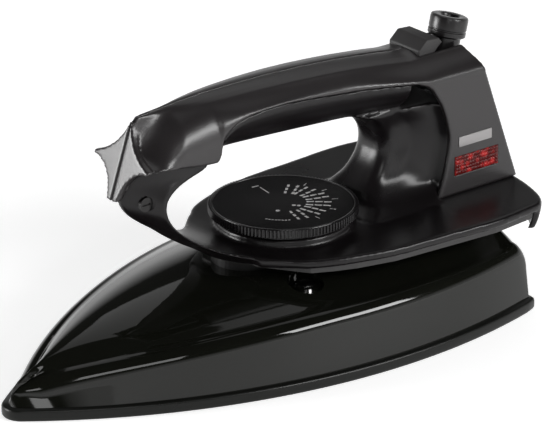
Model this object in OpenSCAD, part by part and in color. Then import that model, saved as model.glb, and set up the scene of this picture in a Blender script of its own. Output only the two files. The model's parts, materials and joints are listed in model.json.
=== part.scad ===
// Dry clothes iron. Nose towards -X, heel towards +X, +Z up.
// The origin is on the underside of the soleplate, at the middle of its length and width.

/* [Soleplate] */
// Length of the soleplate, nose to heel
sole_l = 236; // [200:1:290]
// Greatest width of the soleplate
sole_w = 122.6; // [100:0.1:150]
// Distance from the heel to the widest place
widest_from_heel = 73; // [60:1:90]
// Radius of the nose tip seen from above
nose_r = 8; // [5:0.5:12]
// Thickness of the rim that shows below the cover
sole_t = 5; // [3:0.1:7]
// Height of the raised pad that carries the element, above the rim
pad_h = 5; // [4:0.1:7]
// Distance from the rim to the raised pad
pad_inset = 12; // [9:0.5:16]
// How far the middle of the heel stands out behind its corners
heel_bow = 2; // [0:0.5:4]

/* [Heating element] */
// Diameter of the element's sheath
sheath_d = 7; // [5:0.5:8]
// Half the distance between the element's two legs
leg_y = 20; // [15:1:26]
// Thickness of the pressure plate over the element
press_t = 8; // [5:0.5:12]

/* [Cover] */
// Gap between the cover's rim and the soleplate's rim
cover_inset = 2.5; // [1.5:0.1:4]
// How far the cover's wall leans in on its way up
cover_lean = 2; // [0:0.1:4]
// Thickness of the pressed sheet
cover_wall = 1; // [0.6:0.1:2]
// Height of the cover's shoulder at the heel
shoulder_z = 29.5; // [25:0.5:36]
// How much lower the shoulder is at the nose
nose_drop = 20.5; // [12:0.5:21]
// Radius of the cover's shoulder
shoulder_r = 6.5; // [3:0.5:8]
// Height of the cover's flat seat above its shoulder
seat_h = 7.5; // [5:0.5:9]

/* [Deck] */
// Thickness of the spacer between cover and handle
spacer_t = 3.8; // [2:0.1:6]
// Thickness of the plate under the deck
base_t = 2.4; // [1.6:0.1:4]
// Thickness of the deck
deck_t = 3.8; // [3:0.1:6]
// Greatest width of the deck
deck_w = 106.8; // [90:0.1:125]
// How far the middle of the deck reaches behind the soleplate
deck_overhang = 15.5; // [10:0.5:20]
// Height of the rear lip below the deck
rear_lip = 8; // [6.5:0.5:10]

/* [Handle] */
// Height of the handle's ridge above the deck
handle_h = 67.4; // [56:0.5:82]
// Width of the grip
grip_w = 32; // [27:0.5:39]
// Depth of the grip from ridge to underside
grip_d = 26.4; // [24:0.5:31]
// Width of the handle over the rear panels
panel_w = 43; // [39:0.5:52]
// Thickness of the shells' walls
shell_wall = 2.4; // [1.8:0.1:3]
// Radius of the ridge's slow curve along the grip
ridge_r = 590; // [450:10:800]
// Width of the star's two horns, tip to tip
horn_w = 34.8; // [30:0.2:42]

/* [Dial] */
// Distance of the dial's axis ahead of the heel
dial_from_heel = 94.5; // [88:0.5:98]
// Diameter over the dial's knurled rim
dial_d = 61.8; // [52:0.2:64]
// Height of the dial's top above the deck
dial_top = 9.3; // [8:0.1:12]
// Thickness of the dial
dial_t = 5; // [4:0.1:6]
// Diameter of the thermostat's spindle
spindle_d = 6; // [5:0.1:8]
// Turn of the dial between its two stops
dial_turn = 290; // [180:5:330]
// Pitch of the spindle's thread
spindle_pitch = 1; // [0.5:0.1:1.5]

/* [Cord inlet] */
// Outer diameter of the cord bush
bush_d = 16; // [13:0.2:18]
// Height of the cord bush
bush_h = 8.6; // [7:0.1:12]
// Diameter of the hole for the cord
cord_d = 7.2; // [6:0.1:8.5]
// Lean of the bush behind the vertical
bush_lean = 13.5; // [0:0.5:20]
// Diameter of the trunnions that the cradle tilts on
trunnion_d = 4; // [3:0.1:5]

/* [Fasteners and fits] */
// Clearance of a turning pin or shaft in its bore, on the radius
run_fit = 0.05; // [0.02:0.01:0.1]
// Clearance around loose pieces
loose_fit = 0.3; // [0.2:0.05:0.5]
// Diameter of the mounting studs
stud_d = 5; // [4:0.5:6]
// Diameter of the cover screws
cover_screw_d = 4; // [3:0.5:5]
// Diameter of the small screws
screw_d = 3; // [2.5:0.1:3.5]

/* [Pilot lamp] */
// Length of the lens
lens_l = 24; // [20:0.5:26]
// Height of the lens
lens_h = 8.4; // [6:0.2:10]
// Height of the lens's lower edge above the deck
lens_z = 8.4; // [6:0.2:12]

/* [Hidden] */
$fn = 48;

// Colours
black = [0.07, 0.07, 0.07];
charcoal = [0.27, 0.26, 0.26];
steel = [0.66, 0.67, 0.68];
brass = [0.78, 0.62, 0.30];
ceramic = [0.90, 0.87, 0.80];

// Heights, from the surface that the iron stands on
pad_z = sole_t + pad_h;
press_z = pad_z + press_t;
seat_z = shoulder_z + seat_h;
base_z = seat_z + spacer_t;
deck_low = base_z + base_t;
deck_z = deck_low + deck_t;
ridge_z = deck_z + handle_h;
under_z = ridge_z - grip_d;

// Places along the iron
nose_x = -sole_l / 2;
heel_x = sole_l / 2;
wide_x = heel_x - widest_from_heel;
dial_x = heel_x - dial_from_heel;
deck_end = heel_x + deck_overhang;
half_w = sole_w / 2;
grip_b = grip_w / 2;
panel_b = panel_w / 2;
post_b = panel_b - shell_wall;

// Side arc of the soleplate, which runs into the round nose tip without a corner
tip_x = nose_x + nose_r;
side_r = (pow(wide_x - tip_x, 2) + half_w * half_w - nose_r * nose_r) / (2 * (half_w - nose_r));
touch_x = tip_x - nose_r * (wide_x - tip_x) / (side_r - nose_r);

// Half width of the soleplate's outline at x, drawn in by a distance
function outline_y(x, inset) =
    x < touch_x + inset * (wide_x - tip_x) / (side_r - nose_r) && nose_r > inset
        ? sqrt(max(0, pow(nose_r - inset, 2) - pow(x - tip_x, 2)))
        : max(0, sqrt(pow(side_r - inset, 2) - pow(x - wide_x, 2)) - side_r + half_w);

// Foremost x of the outline drawn in by a distance
function outline_front(inset) =
    inset < nose_r ? nose_x + inset
                   : wide_x - sqrt(pow(side_r - inset, 2) - pow(side_r - half_w, 2));

// x stations from the front to the back of the outline, closer together at the nose
function stations(inset, steps) = let (front = outline_front(inset))
    [for (k = [0:steps]) front + (heel_x - inset - front) * (1 - cos(90 * pow(k / steps, 0.85)))];

// Closed outline of the soleplate, drawn in by a distance
function outline(inset, steps = 28) = let (xs = stations(inset, steps),
    side = [for (k = [1:steps]) [xs[k], outline_y(xs[k], inset)]],
    y_end = outline_y(heel_x - inset, inset) - nose_r / 4)
    concat([[xs[0], 0]],
        [for (k = [0:steps - 2]) side[k]], [[heel_x - inset - nose_r / 4, y_end + nose_r / 4]],
        [for (f = [1:-0.25:-1]) [heel_x - inset + heel_bow * (1 - f * f), f * y_end]],
        [[heel_x - inset - nose_r / 4, -y_end - nose_r / 4]],
        [for (k = [steps - 2:-1:0]) [side[k][0], -side[k][1]]]);

// Twice a ring's area as a vector along its normal
function ring_normal(ring) = let (n = len(ring), o = ring[0])
    sum_points([for (i = [0:n - 1]) cross(ring[i] - o, ring[(i + 1) % n] - o)]);
function sum_points(list) = [for (axis = [0:2]) [for (p = list) p[axis]] * [for (p = list) 1]];

// Solid through a list of rings with equal point counts, closed at both ends
module loft(rings) {
    n = len(rings[0]);
    m = len(rings);
    middle = floor(m / 2);
    along = sum_points(rings[middle]) - sum_points(rings[middle - 1]);
    forward = ring_normal(rings[middle]) * along > 0;
    order = forward ? [0:m - 1] : [m - 1:-1:0];
    polyhedron(
        points = [for (k = order) each rings[k]],
        faces = concat(
            [[for (i = [0:n - 1]) i]],
            [[for (i = [n - 1:-1:0]) (m - 1) * n + i]],
            [for (k = [0:m - 2], i = [0:n - 1]) [k * n + i, (k + 1) * n + i, k * n + (i + 1) % n]],
            [for (k = [0:m - 2], i = [0:n - 1])
                [k * n + (i + 1) % n, (k + 1) * n + i, (k + 1) * n + (i + 1) % n]]));
}

// Works out what is inside as one smooth shell at its own size
module shell_body() {
    resize([0, 0, 0]) children();
}

// Cylinder lying along Y from y0 to y1
module y_rod(x, z, y0, y1, d) {
    translate([x, y0, z]) rotate([-90, 0, 0]) cylinder(h = y1 - y0, d = d);
}

// Cylinder lying along X from x0 to x1
module x_rod(y, z, x0, x1, d) {
    translate([x0, y, z]) rotate([0, 90, 0]) cylinder(h = x1 - x0, d = d);
}

// Pan-head screw pointing down, its seat at z
module screw_down(x, y, z, d, length) {
    difference() {
        union() {
            translate([x, y, z - length]) cylinder(h = length, d = d);
            translate([x, y, z]) cylinder(h = d * 0.6, d = d * 1.9);
        }
        translate([x, y, z + d * 0.45]) cube([d * 1.2, d * 0.22, d], center = true);
    }
}

/* ---- Soleplate and heating element ---- */

stud_x = [dial_x - 64, dial_x + 45];
element_front = stud_x[0] + 4;
element_back = dial_x + 62;
element_z = pad_z - sheath_d / 2;
terminal_x = element_back - sheath_d / 2;

// U-shaped path of the element as a tube of diameter d
module element_tube(d) {
    for (side = [-1, 1])
        x_rod(side * leg_y, element_z, element_front, element_back, d);
    translate([element_front, 0, element_z])
        rotate([0, 0, 90]) rotate_extrude(angle = 180) translate([leg_y, 0]) circle(d = d);
}

module soleplate() color(black) difference() {
    union() {
        linear_extrude(sole_t) polygon(outline(0));
        linear_extrude(pad_z) polygon(outline(pad_inset));
    }
    element_tube(sheath_d + 2 * run_fit);
    translate([0, 0, element_z]) intersection() {
        linear_extrude(pad_z) difference() {
            square([3 * sole_l, 2 * leg_y + sheath_d + 2 * run_fit], center = true);
            translate([element_front, -leg_y + sheath_d / 2 + run_fit])
                square([sole_l, 2 * leg_y - sheath_d - 2 * run_fit]);
            translate([element_front, 0]) circle(r = leg_y - sheath_d / 2 - run_fit);
            translate([element_back, -sole_w]) square([sole_l, 2 * sole_w]);
        }
        union() {
            translate([element_front, 0]) cylinder(h = pad_z, r = leg_y + sheath_d / 2 + run_fit);
            translate([element_front, -sole_w, 0]) cube([sole_l, 2 * sole_w, pad_z]);
        }
    }
    for (x = stud_x)
        translate([x, 0, sole_t]) cylinder(h = pad_z, d = stud_d);
    for (y = [-1, 1])
        translate([frame_screw_x, y * frame_screw_y, sole_t]) cylinder(h = pad_z, d = screw_d);
}

module heating_element() color(steel) {
    difference() {
        element_tube(sheath_d);
        translate([element_back - 0.01, -sole_w, 0]) cube([10, 2 * sole_w, 2 * pad_z]);
    }
    for (side = [-1, 1])
        translate([terminal_x, side * leg_y, element_z]) cylinder(h = 15, d = 3);
}

module element_insulators() color(ceramic) for (side = [-1, 1])
    translate([terminal_x, side * leg_y, pad_z]) difference() {
        cylinder(h = 6, d = sheath_d);
        translate([0, 0, -1]) cylinder(h = 8, d = 3);
    }

/* ---- Pressure plate and mounting ---- */

press_inset = pad_inset + 8;
window_l = 60;
window_w = 24;
cover_screw_x = dial_x - 13.9;
cover_screw_y = 31;
press_back = terminal_x - sheath_d;
tower_d = 11;

// Height of the cover's top surface at x, y
function shoulder_at(x) = let (s = max(0, (10 - x) / (10 - nose_x)))
    shoulder_z - nose_drop * (0.68 * pow(s, 1.6) + 0.32 * pow(s, 8));
function crown_at(x) = let (s = max(0, (10 - x) / (10 - nose_x))) 1.5 + (seat_h + 0.5) * (1 - s * s);
function top_at(x, y) = let (flat_y = max(1, outline_y(x, cover_inset + cover_lean + shoulder_r)))
    min(seat_z, shoulder_at(x) + crown_at(x) * max(0, 1 - pow(y / flat_y, 2)));

recess_floor = top_at(cover_screw_x, cover_screw_y) - 3;

module pressure_plate() color(charcoal) difference() {
    union() {
        translate([0, 0, pad_z]) linear_extrude(press_t) intersection() {
            polygon(outline(press_inset));
            translate([press_back - sole_l, -half_w]) square([sole_l, sole_w]);
        }
        for (side = [-1, 1])
            translate([cover_screw_x, side * cover_screw_y, pad_z])
                cylinder(h = recess_floor - cover_wall - pad_z, d = tower_d);
    }
    translate([dial_x - window_l / 2 - 6, -window_w / 2, 0]) cube([window_l, window_w, 2 * press_z]);
    for (x = stud_x)
        translate([x, 0, 0]) cylinder(h = 2 * press_z, d = stud_d + 2 * loose_fit);
    for (side = [-1, 1])
        translate([cover_screw_x, side * cover_screw_y, pad_z + 3]) cylinder(h = 40, d = cover_screw_d);
    translate([fuse_x, -fuse_y, press_z - 8]) cylinder(h = 9, d = screw_d);
    translate([earth_x, earth_y, press_z - 5]) cylinder(h = 6, d = screw_d);
}

module mounting_studs() color(steel) for (x = stud_x)
    translate([x, 0, sole_t]) cylinder(h = press_z + 8 - sole_t, d = stud_d);

module stud_washers() color(steel) for (x = stud_x)
    translate([x, 0, press_z]) difference() {
        cylinder(h = 1, d = stud_d * 2);
        translate([0, 0, -1]) cylinder(h = 3, d = stud_d + 2 * loose_fit);
    }

module stud_nuts() color(steel) for (x = stud_x)
    translate([x, 0, press_z + 1]) difference() {
        cylinder(h = stud_d * 0.8, d = stud_d * 1.85, $fn = 6);
        translate([0, 0, -1]) cylinder(h = stud_d * 2, d = stud_d);
    }

/* ---- Thermostat ---- */

frame_screw_x = dial_x - 28;
frame_screw_y = 7;
stack_x = dial_x - 20;
strip_w = 8;
bimetal_z = pad_z + 4;
fixed_z = pad_z + 8;
hinge_x = stack_x + 5;
contact_x = dial_x + 9;
strip_t = 0.8;
// Travel of the moving contact while the dial turns from stop to stop, and the gap that allows it
contact_travel = spindle_pitch * dial_turn / 360 * (contact_x - hinge_x) / (dial_x - hinge_x);
moving_z = fixed_z + 3 * strip_t + contact_travel + 0.15;
bridge_z = pad_z + 16;
frame_t = 1.5;
spindle_low = moving_z + 1.4;

// Sheet frame: a foot on the pad, two legs and a bridge that holds the threaded boss
module thermostat_frame() color(steel) difference() {
    union() {
        translate([frame_screw_x - 4, -11, pad_z]) cube([46, 22, frame_t]);
        for (side = [-1, 1])
            translate([dial_x - 7, side * 10.25 - frame_t / 2, pad_z])
                cube([14, frame_t, bridge_z + frame_t - pad_z]);
        translate([dial_x - 7, -11, bridge_z]) cube([14, 22, frame_t]);
        translate([dial_x, 0, bridge_z]) cylinder(h = 5, d = spindle_d + 4);
    }
    translate([dial_x, 0, bridge_z - 1]) cylinder(h = 9, r = spindle_d / 2 + run_fit);
    for (side = [-1, 1])
        translate([frame_screw_x, side * frame_screw_y, 0]) cylinder(h = 30, d = screw_d);
    translate([stack_x, 0, 0]) cylinder(h = 30, d = screw_d);
}

module thermostat_screws() color(steel) for (side = [-1, 1])
    screw_down(frame_screw_x, side * frame_screw_y, pad_z + frame_t, screw_d, pad_h + frame_t);

// Ceramic rings between the strips of the stack
module insulator_stack() color(ceramic) difference() {
    union() {
        translate([stack_x, 0, pad_z + frame_t]) cylinder(h = bimetal_z - pad_z - frame_t, d = 8);
        translate([stack_x, 0, bimetal_z + strip_t]) cylinder(h = fixed_z - bimetal_z - strip_t, d = 8);
        translate([stack_x, 0, fixed_z + strip_t]) cylinder(h = moving_z - fixed_z - strip_t, d = 8);
    }
    translate([stack_x, 0, 0]) cylinder(h = 60, d = screw_d);
}

module stack_rivet() color(steel) {
    translate([stack_x, 0, pad_z]) cylinder(h = moving_z + strip_t - pad_z, d = screw_d);
    translate([stack_x, 0, moving_z + strip_t]) cylinder(h = 1.2, d = screw_d * 1.8);
}

// Flat strip from the stack towards the dial's axis
module strip(z, reach) difference() {
    translate([stack_x - 4, -strip_w / 2, z]) cube([reach + 4, strip_w, strip_t]);
    translate([stack_x, 0, z - 1]) cylinder(h = 3, d = screw_d);
}

module bimetal_strip() color(brass) strip(bimetal_z, 30);

module fixed_contact() color(brass) {
    strip(fixed_z, 32);
    translate([contact_x, 0, fixed_z + strip_t]) cylinder(h = strip_t, d = 5);
}

// Arm that bends at its root: its free part, its contact and the ceramic pin on it
module moving_contact() color(brass) {
    translate([hinge_x, -strip_w / 2, moving_z]) cube([dial_x + 12 - hinge_x, strip_w, strip_t]);
    translate([contact_x, 0, moving_z - strip_t]) cylinder(h = strip_t, d = 5);
    translate([dial_x, 0, moving_z + strip_t]) cylinder(h = 0.5, d = 3);
    y_rod(hinge_x, moving_z + strip_t / 2, -strip_w / 2, strip_w / 2, 1.4);
}

spindle_top = deck_z + dial_top - 1.5;

module thermostat_spindle() color(brass) difference() {
    translate([dial_x, 0, spindle_low]) cylinder(h = spindle_top - spindle_low, d = spindle_d);
    translate([dial_x + spindle_d / 2 - 1.2, -spindle_d, deck_z + 0.5])
        cube([spindle_d, 2 * spindle_d, spindle_top]);
}

fuse_x = dial_x + 30;
fuse_y = 14;
fuse_d = 4;
fuse_axis_y = -fuse_y + 8;

module thermal_fuse() color(ceramic)
    x_rod(fuse_axis_y, press_z + fuse_d / 2, fuse_x - 12, fuse_x + 8, fuse_d);

// Strap over the fuse: a foot for its screw, a leg and a half round
module fuse_clamp() color(steel) difference() {
    union() {
        translate([fuse_x - 4, -fuse_y - 4, press_z]) cube([8, 12 - fuse_d / 2, 1]);
        translate([fuse_x - 4, fuse_axis_y - fuse_d / 2 - 1, press_z]) cube([8, 1, fuse_d / 2 + 0.5]);
        difference() {
            x_rod(fuse_axis_y, press_z + fuse_d / 2, fuse_x - 4, fuse_x + 4, fuse_d + 2);
            translate([fuse_x - 5, -fuse_y, press_z - 5]) cube([10, 2 * fuse_y, 5 + fuse_d / 2]);
        }
    }
    x_rod(fuse_axis_y, press_z + fuse_d / 2, fuse_x - 5, fuse_x + 5, fuse_d + 2 * run_fit);
    translate([fuse_x, -fuse_y, press_z - 1]) cylinder(h = 5, d = screw_d);
}

module fuse_screw() color(steel) screw_down(fuse_x, -fuse_y, press_z + 1, screw_d, 8);

/* ---- Cover ---- */

// Section of the hood at x: outer skin for inward 0, inner skin for inward = wall
function cover_ring(x, inward) = let (
    fore = max(0, nose_x + cover_inset + 5 - x),
    aft = max(0, x - heel_x + cover_inset + shoulder_r),
    foot = outline_y(x, cover_inset) - inward,
    wall_y = max(0.35, outline_y(x, cover_inset + cover_lean) - inward),
    corner = min(shoulder_r, wall_y * 0.8),
    drop = 5 - sqrt(max(0, 25 - fore * fore))
        + shoulder_r - sqrt(max(0, shoulder_r * shoulder_r - aft * aft)),
    sh = max(sole_t + 2, shoulder_at(x) - inward - drop * 0.9),
    half = concat(
        [[max(0.5, foot), sole_t], [max(0.45, wall_y), max(sole_t + 1, sh - corner)]],
        [for (a = [30, 60, 90]) [wall_y - corner + corner * cos(a), sh - corner + corner * sin(a)]],
        [for (f = [0.8, 0.6, 0.4, 0.2]) let (y = (wall_y - corner) * f)
            [y, max(sh, sh + top_at(x, y) - shoulder_at(x))]]))
    concat([for (p = half) [x, p[0], p[1]]], [[x, 0, half[8][1] - 0.02]],
        [for (k = [8:-1:0]) [x, -half[k][0], half[k][1]]]);

cover_xs = let (f = nose_x + cover_inset)
    concat([f + 0.3, f + 1.2, f + 2.6, f + 4.4, f + 7, f + 11, f + 16],
        [for (k = [0:13]) f + 22 + (heel_x - shoulder_r - cover_inset - f - 22) * k / 13],
        [for (a = [30, 55, 80]) heel_x - cover_inset - shoulder_r * (1 - sin(a))]);

module cover_hood(inward) loft([for (x = cover_xs)
    let (s = 1 - 2 * inward / sole_l)
    [for (p = cover_ring(x, inward)) [p[0] * s, p[1], p[2]]]]);

recess_d = 15;

module cover() color(black) difference() {
    shell_body() difference() {
        union() {
            difference() {
                cover_hood(0);
                translate([0, 0, -0.01]) cover_hood(cover_wall);
            }
            intersection() {
                cover_hood(0);
                for (side = [-1, 1])
                    translate([cover_screw_x, side * cover_screw_y, recess_floor - cover_wall])
                        cylinder(h = 20, d = recess_d + 2 * cover_wall);
            }
        }
        for (side = [-1, 1])
            translate([cover_screw_x, side * cover_screw_y, recess_floor])
                cylinder(h = 20, d = recess_d);
    }
    translate([dial_x, 0, 0]) cylinder(h = 2 * seat_z, d = spindle_d + 4);
    lead_shaft();
    for (side = [-1, 1])
        translate([cover_screw_x, side * cover_screw_y, 0])
            cylinder(h = 2 * seat_z, d = cover_screw_d + 2 * run_fit);
    for (x = base_screw_x)
        translate([x, 0, 0]) cylinder(h = 2 * seat_z, d = screw_d + 2 * loose_fit);
}

module cover_screws() color(steel) for (side = [-1, 1])
    screw_down(cover_screw_x, side * cover_screw_y, recess_floor, cover_screw_d,
        recess_floor - cover_wall - pad_z - 4);

/* ---- Spacer, base plate and deck ---- */

lead_x = dial_x + 76;
base_screw_x = [dial_x - 24, dial_x + 30];

// Opening that the leads go up through
module lead_shaft() {
    translate([lead_x - 9, -7, 0]) cube([18, 14, 2 * deck_z]);
}

// Holes that the spindle, the leads and the base screws need in every layer
module layer_holes(screw_hole) {
    translate([dial_x, 0, 0]) cylinder(h = 2 * deck_z, d = spindle_d + 2);
    lead_shaft();
    for (x = base_screw_x)
        translate([x, 0, 0]) cylinder(h = 2 * deck_z, d = screw_hole);
}

module heat_spacer() color(black) difference() {
    translate([0, 0, seat_z]) linear_extrude(spacer_t) hull() {
        translate([dial_x - 20, 0]) circle(r = 14);
        translate([heel_x - shoulder_r - 20, -14]) square([12, 28]);
    }
    layer_holes(screw_d + 2 * loose_fit);
}

// Half width of the deck's edge: distances from the dial's axis, insets from the widest place
deck_edge = [[-32, 29], [-23.5, 21], [-17.5, 15.5], [-8.5, 11], [2.5, 7.4], [19.5, 3.4],
    [45.5, 1.6], [70.5, 0], [88.5, 1.9]];
// Rear end: distances ahead of the deck's end, insets from the widest place
deck_tail = [[16.5, 2.6], [12.5, 4.2], [8, 9.6], [4, 20], [1.2, 33]];
deck_half = concat([for (p = deck_edge) [dial_x + p[0], deck_w / 2 - p[1]]],
    [for (p = deck_tail) [deck_end - p[0], deck_w / 2 - p[1]]]);

function deck_outline(inset) = let (front = deck_half[0])
    concat([[front[0] + inset, 0]],
        [for (p = deck_half) [min(p[0] + (p[0] < dial_x ? inset : 0), deck_end - inset),
            max(2, p[1] - inset)]],
        [[deck_end - inset, 0]],
        [for (k = [len(deck_half) - 1:-1:0]) let (p = deck_half[k])
            [min(p[0] + (p[0] < dial_x ? inset : 0), deck_end - inset), -max(2, p[1] - inset)]]);

module base_plate() color(charcoal) difference() {
    translate([0, 0, base_z]) linear_extrude(base_t) intersection() {
        polygon(deck_outline(1.6));
        polygon([[dial_x - 28, 18], [dial_x - 9, 46], [heel_x - 2, half_w], [heel_x - 2, -half_w],
            [dial_x - 9, -46], [dial_x - 28, -18]]);
    }
    layer_holes(screw_d + 2 * loose_fit);
}

module base_screws() color(steel) for (x = base_screw_x)
    translate([x, 0, 0]) difference() {
        union() {
            translate([0, 0, seat_z - cover_wall - 0.2]) cylinder(h = 10, d = screw_d);
            translate([0, 0, seat_z - cover_wall - 2]) cylinder(h = 1.9, d = 2 * screw_d);
        }
        translate([0, 0, seat_z - cover_wall - 2]) cube([1, 4, 1.6], center = true);
    }

/* ---- Handle core: deck, neck, post and underside of the grip in one moulding ---- */

gap_h = under_z - deck_z;
function up(share) = deck_z + share * gap_h;

// Frames of the neck, from the deck up to the head. Each is the inner lip's place, its half
// width, the keel's place and its half width: x from the dial's axis, height as share of the gap.
neck_frames = [
    [-13.5, -0.01, 39.5, -13.5, -0.09, 38], [-23.5, 0, 32.5, -23.5, -0.09, 30],
    [-31.5, 0.012, 25, -32, -0.09, 20], [-37.5, 0.04, 19.5, -39, -0.09, 6],
    [-44, 0.09, 16.5, -46.5, 0.02, 1.2], [-50.5, 0.17, 14.3, -53.5, 0.12, 1],
    [-57.5, 0.285, 12.6, -61, 0.24, 1], [-63.5, 0.42, 11.4, -68, 0.37, 1],
    [-66.7, 0.55, 11, -74.8, 0.485, 1], [-67.3, 0.66, 10.8, -81.1, 0.62, 1],
    [-65.5, 0.75, 10.6, -84, 0.78, 1.5], [-61, 0.83, 10.5, -80, 0.97, 3],
    [-55, 0.885, 10.4, -73.5, 1.05, 7], [-49.5, 0.925, 10.4, -62, 1.065, 9],
    [-46.6, 0.965, 10.4, -47.2, 1.03, 10]];

function neck_ring(f) = let (ix = dial_x + f[0], iz = up(f[1]), ox = dial_x + f[3], oz = up(f[4]),
    mx = (ix + ox) / 2, mz = (iz + oz) / 2, mw = (f[2] + f[5]) / 2 + 0.12 * (f[2] - f[5]))
    [[ix, f[2] - 1.5, iz], [ix * 0.85 + ox * 0.15, f[2], iz * 0.85 + oz * 0.15], [mx, mw, mz],
     [ox, f[5], oz], [ox, -f[5], oz], [mx, -mw, mz],
     [ix * 0.85 + ox * 0.15, -f[2], iz * 0.85 + oz * 0.15], [ix, -f[2] + 1.5, iz]];

module neck() loft([for (f = neck_frames) neck_ring(f)]);

// Front of the post: height as share of the gap, x from the dial's axis, half width
post_front = [[-0.09, 22, 26], [0, 24, 25], [0.04, 28, 22], [0.09, 32.3, 18], [0.17, 34.5, 14.5],
    [0.27, 38, 11.5],
    [0.415, 42.5, 10.5], [0.56, 45, 10.5], [0.71, 44.5, 10.5], [0.83, 41.5, 10.8],
    [0.93, 36.5, 11.8], [1.0, 30, 12.5]];
rear_slope = 0.36;
function rear_x(z) = deck_end - 1 - (z - deck_z) * rear_slope;
panel_front = [[-0.05, 64.5], [0.3, 69.5], [0.6, 71.5], [0.8, 70], [1, 67], [1.1, 64.5]];
function panel_x(share) = dial_x + lookup(share, panel_front);
rear_cover_t = 2;

function post_ring(p) = let (z = up(p[0]), fx = dial_x + p[1], hw = p[2], px = panel_x(p[0]) - 1,
    rx = rear_x(z) - 1.2)
    [[fx, hw * 0.35, z], [fx + 1.5, hw * 0.75, z], [fx + 5, hw, z], [px, max(hw, post_b - 4), z],
     [px + 3, post_b, z], [rx, post_b, z], [rx, -post_b, z], [px + 3, -post_b, z],
     [px, -max(hw, post_b - 4), z], [fx + 5, -hw, z], [fx + 1.5, -hw * 0.75, z], [fx, -hw * 0.35, z]];

module post() loft([for (p = post_front) post_ring(p)]);

// Room in the post for the terminals, open to the rear
post_room_y = 12.5;
room_front = dial_x + 64;
room_low = deck_z + 3;
room_top = up(0.9);
module post_room() {
    translate([0, post_room_y, 0]) rotate([90, 0, 0]) linear_extrude(2 * post_room_y)
        polygon([[room_front, room_low], [rear_x(room_low) + 5, room_low],
            [rear_x(room_top) + 5, room_top], [room_front, room_top]]);
}

// Underside of the grip: an open channel whose edges meet the shells
seam_line = [[-82, 6.1], [-64, 3.8], [-46, 1.7], [-44.5, 4], [-43.5, 10], [-39, 14.5],
    [-35, 16.5], [-27, 18], [-15, 18.5], [2, 17.4], [17, 15.8], [37, 14.2], [53, 12.6],
    [62, 11], [100, 9]];
function seam_z(x) = under_z + lookup(x - dial_x, seam_line);
function grip_y(x) = let (s = min(1, max(0, (x - dial_x - 18) / 44)))
    grip_b + (panel_b - grip_b) * s * s * (3 - 2 * s);

function belly_z(x) = under_z - 0.053 * (x - dial_x) * gap_h / 41 + 0.2;
function channel_ring(x, inward) = let (b = grip_y(x) - inward, top = seam_z(x) + (inward > 0 ? 1 : 0),
    low = belly_z(x) + inward)
    [for (a = [0:22.5:180]) [x, b * cos(a) * (1 - 0.12 * sin(a)), top - (top - low) * sin(a)]];

module channel() difference() {
    loft([for (x = channel_xs) channel_ring(x, 0)]);
    loft([for (x = channel_xs) channel_ring(x, shell_wall)]);
}

dial_boss_r = 28;
dial_low = deck_z + dial_top - dial_t;
hub_r = 6;
hub_h = 2;
boss_top = dial_low - 0.6;

// Pocket in the post's near wall for the lamp, behind the lens
lens_x = dial_x + 74;
lamp_d = 5;
lamp_z = deck_z + lens_z + lens_h / 2;
lamp_y = -post_b + lamp_d / 2 + 0.6;
module lamp_pocket() {
    translate([lens_x - 0.5, -post_b - 1, lamp_z - lamp_d / 2])
        cube([lens_l + 1, post_b - post_room_y + 2, lamp_d + 0.4]);
}

// Boss the rear cover is screwed to
rear_boss_z = room_low + 4;
rear_boss_h = 8;
rear_boss_x = rear_x(room_low + rear_boss_h) - 1.2 - rear_cover_t;

boss_d = 7;
neck_tab_t = 2.4;

// Tab of one shell, reaching down into the neck to its screw
module neck_tab(grow) {
    translate([0, neck_tab_t + grow + 0.1, 0]) rotate([90, 0, 0]) linear_extrude(neck_tab_t + grow + 0.1)
        polygon([[neck_screw_x - 4 - grow, neck_screw_z - 4 - grow],
            [neck_screw_x + 4 + grow, neck_screw_z - 4 - grow],
            [neck_screw_x + 4 + grow, star_z + 3 + 3 * grow],
            [star_x + 2 - 3 * grow, star_z + 3 + 3 * grow], [star_x - 2, star_z - 6]]);
}

module handle_core() color(black) difference() {
    union() {
        shell_body() difference() {
            union() {
                translate([0, 0, deck_low]) linear_extrude(deck_t) polygon(deck_outline(0));
                translate([0, 0, deck_low - rear_lip]) linear_extrude(rear_lip + 0.5) intersection() {
                    difference() {
                        polygon(deck_outline(0));
                        polygon(deck_outline(2.5));
                    }
                    translate([heel_x + 1, -sole_w]) square([sole_l, 2 * sole_w]);
                }
                neck();
                post();
                channel();
            }
            post_room();
            swivel_room();
            for (side = [0, 1])
                mirror([0, side, 0]) neck_tab(loose_fit);
        }
        translate([dial_x, 0, deck_low]) cylinder(h = boss_top - deck_low, r = dial_boss_r);
        translate([rear_boss_x - 8, -4, room_low - 1]) cube([8, 8, rear_boss_h + 1]);
    }
    translate([dial_x, 0, boss_top - hub_h - 0.6]) cylinder(h = 10, r = hub_r + loose_fit);
    layer_holes(screw_d);
    lamp_pocket();
    y_rod(neck_screw_x, neck_screw_z, -30, 30, screw_d);
    y_rod(neck_screw_x, neck_screw_z, -30, -neck_seat_y, 2 * screw_d + 0.4);
    for (p = shell_screw_at) {
        y_rod(p[0], p[1], 0, 30, screw_d + 2 * loose_fit);
        y_rod(p[0], p[1], -30, -post_room_y, boss_d + 2 * loose_fit);
        y_rod(p[0], p[1], -30, 0, screw_d + 2 * loose_fit);
    }
    x_rod(0, rear_boss_z, rear_boss_x - 20, rear_boss_x + 30, screw_d);
    for (p = wall_screws)
        y_rod(p[0], p[1], 0, post_room_y + 4, 2);
}

/* ---- Shells ---- */

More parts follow.
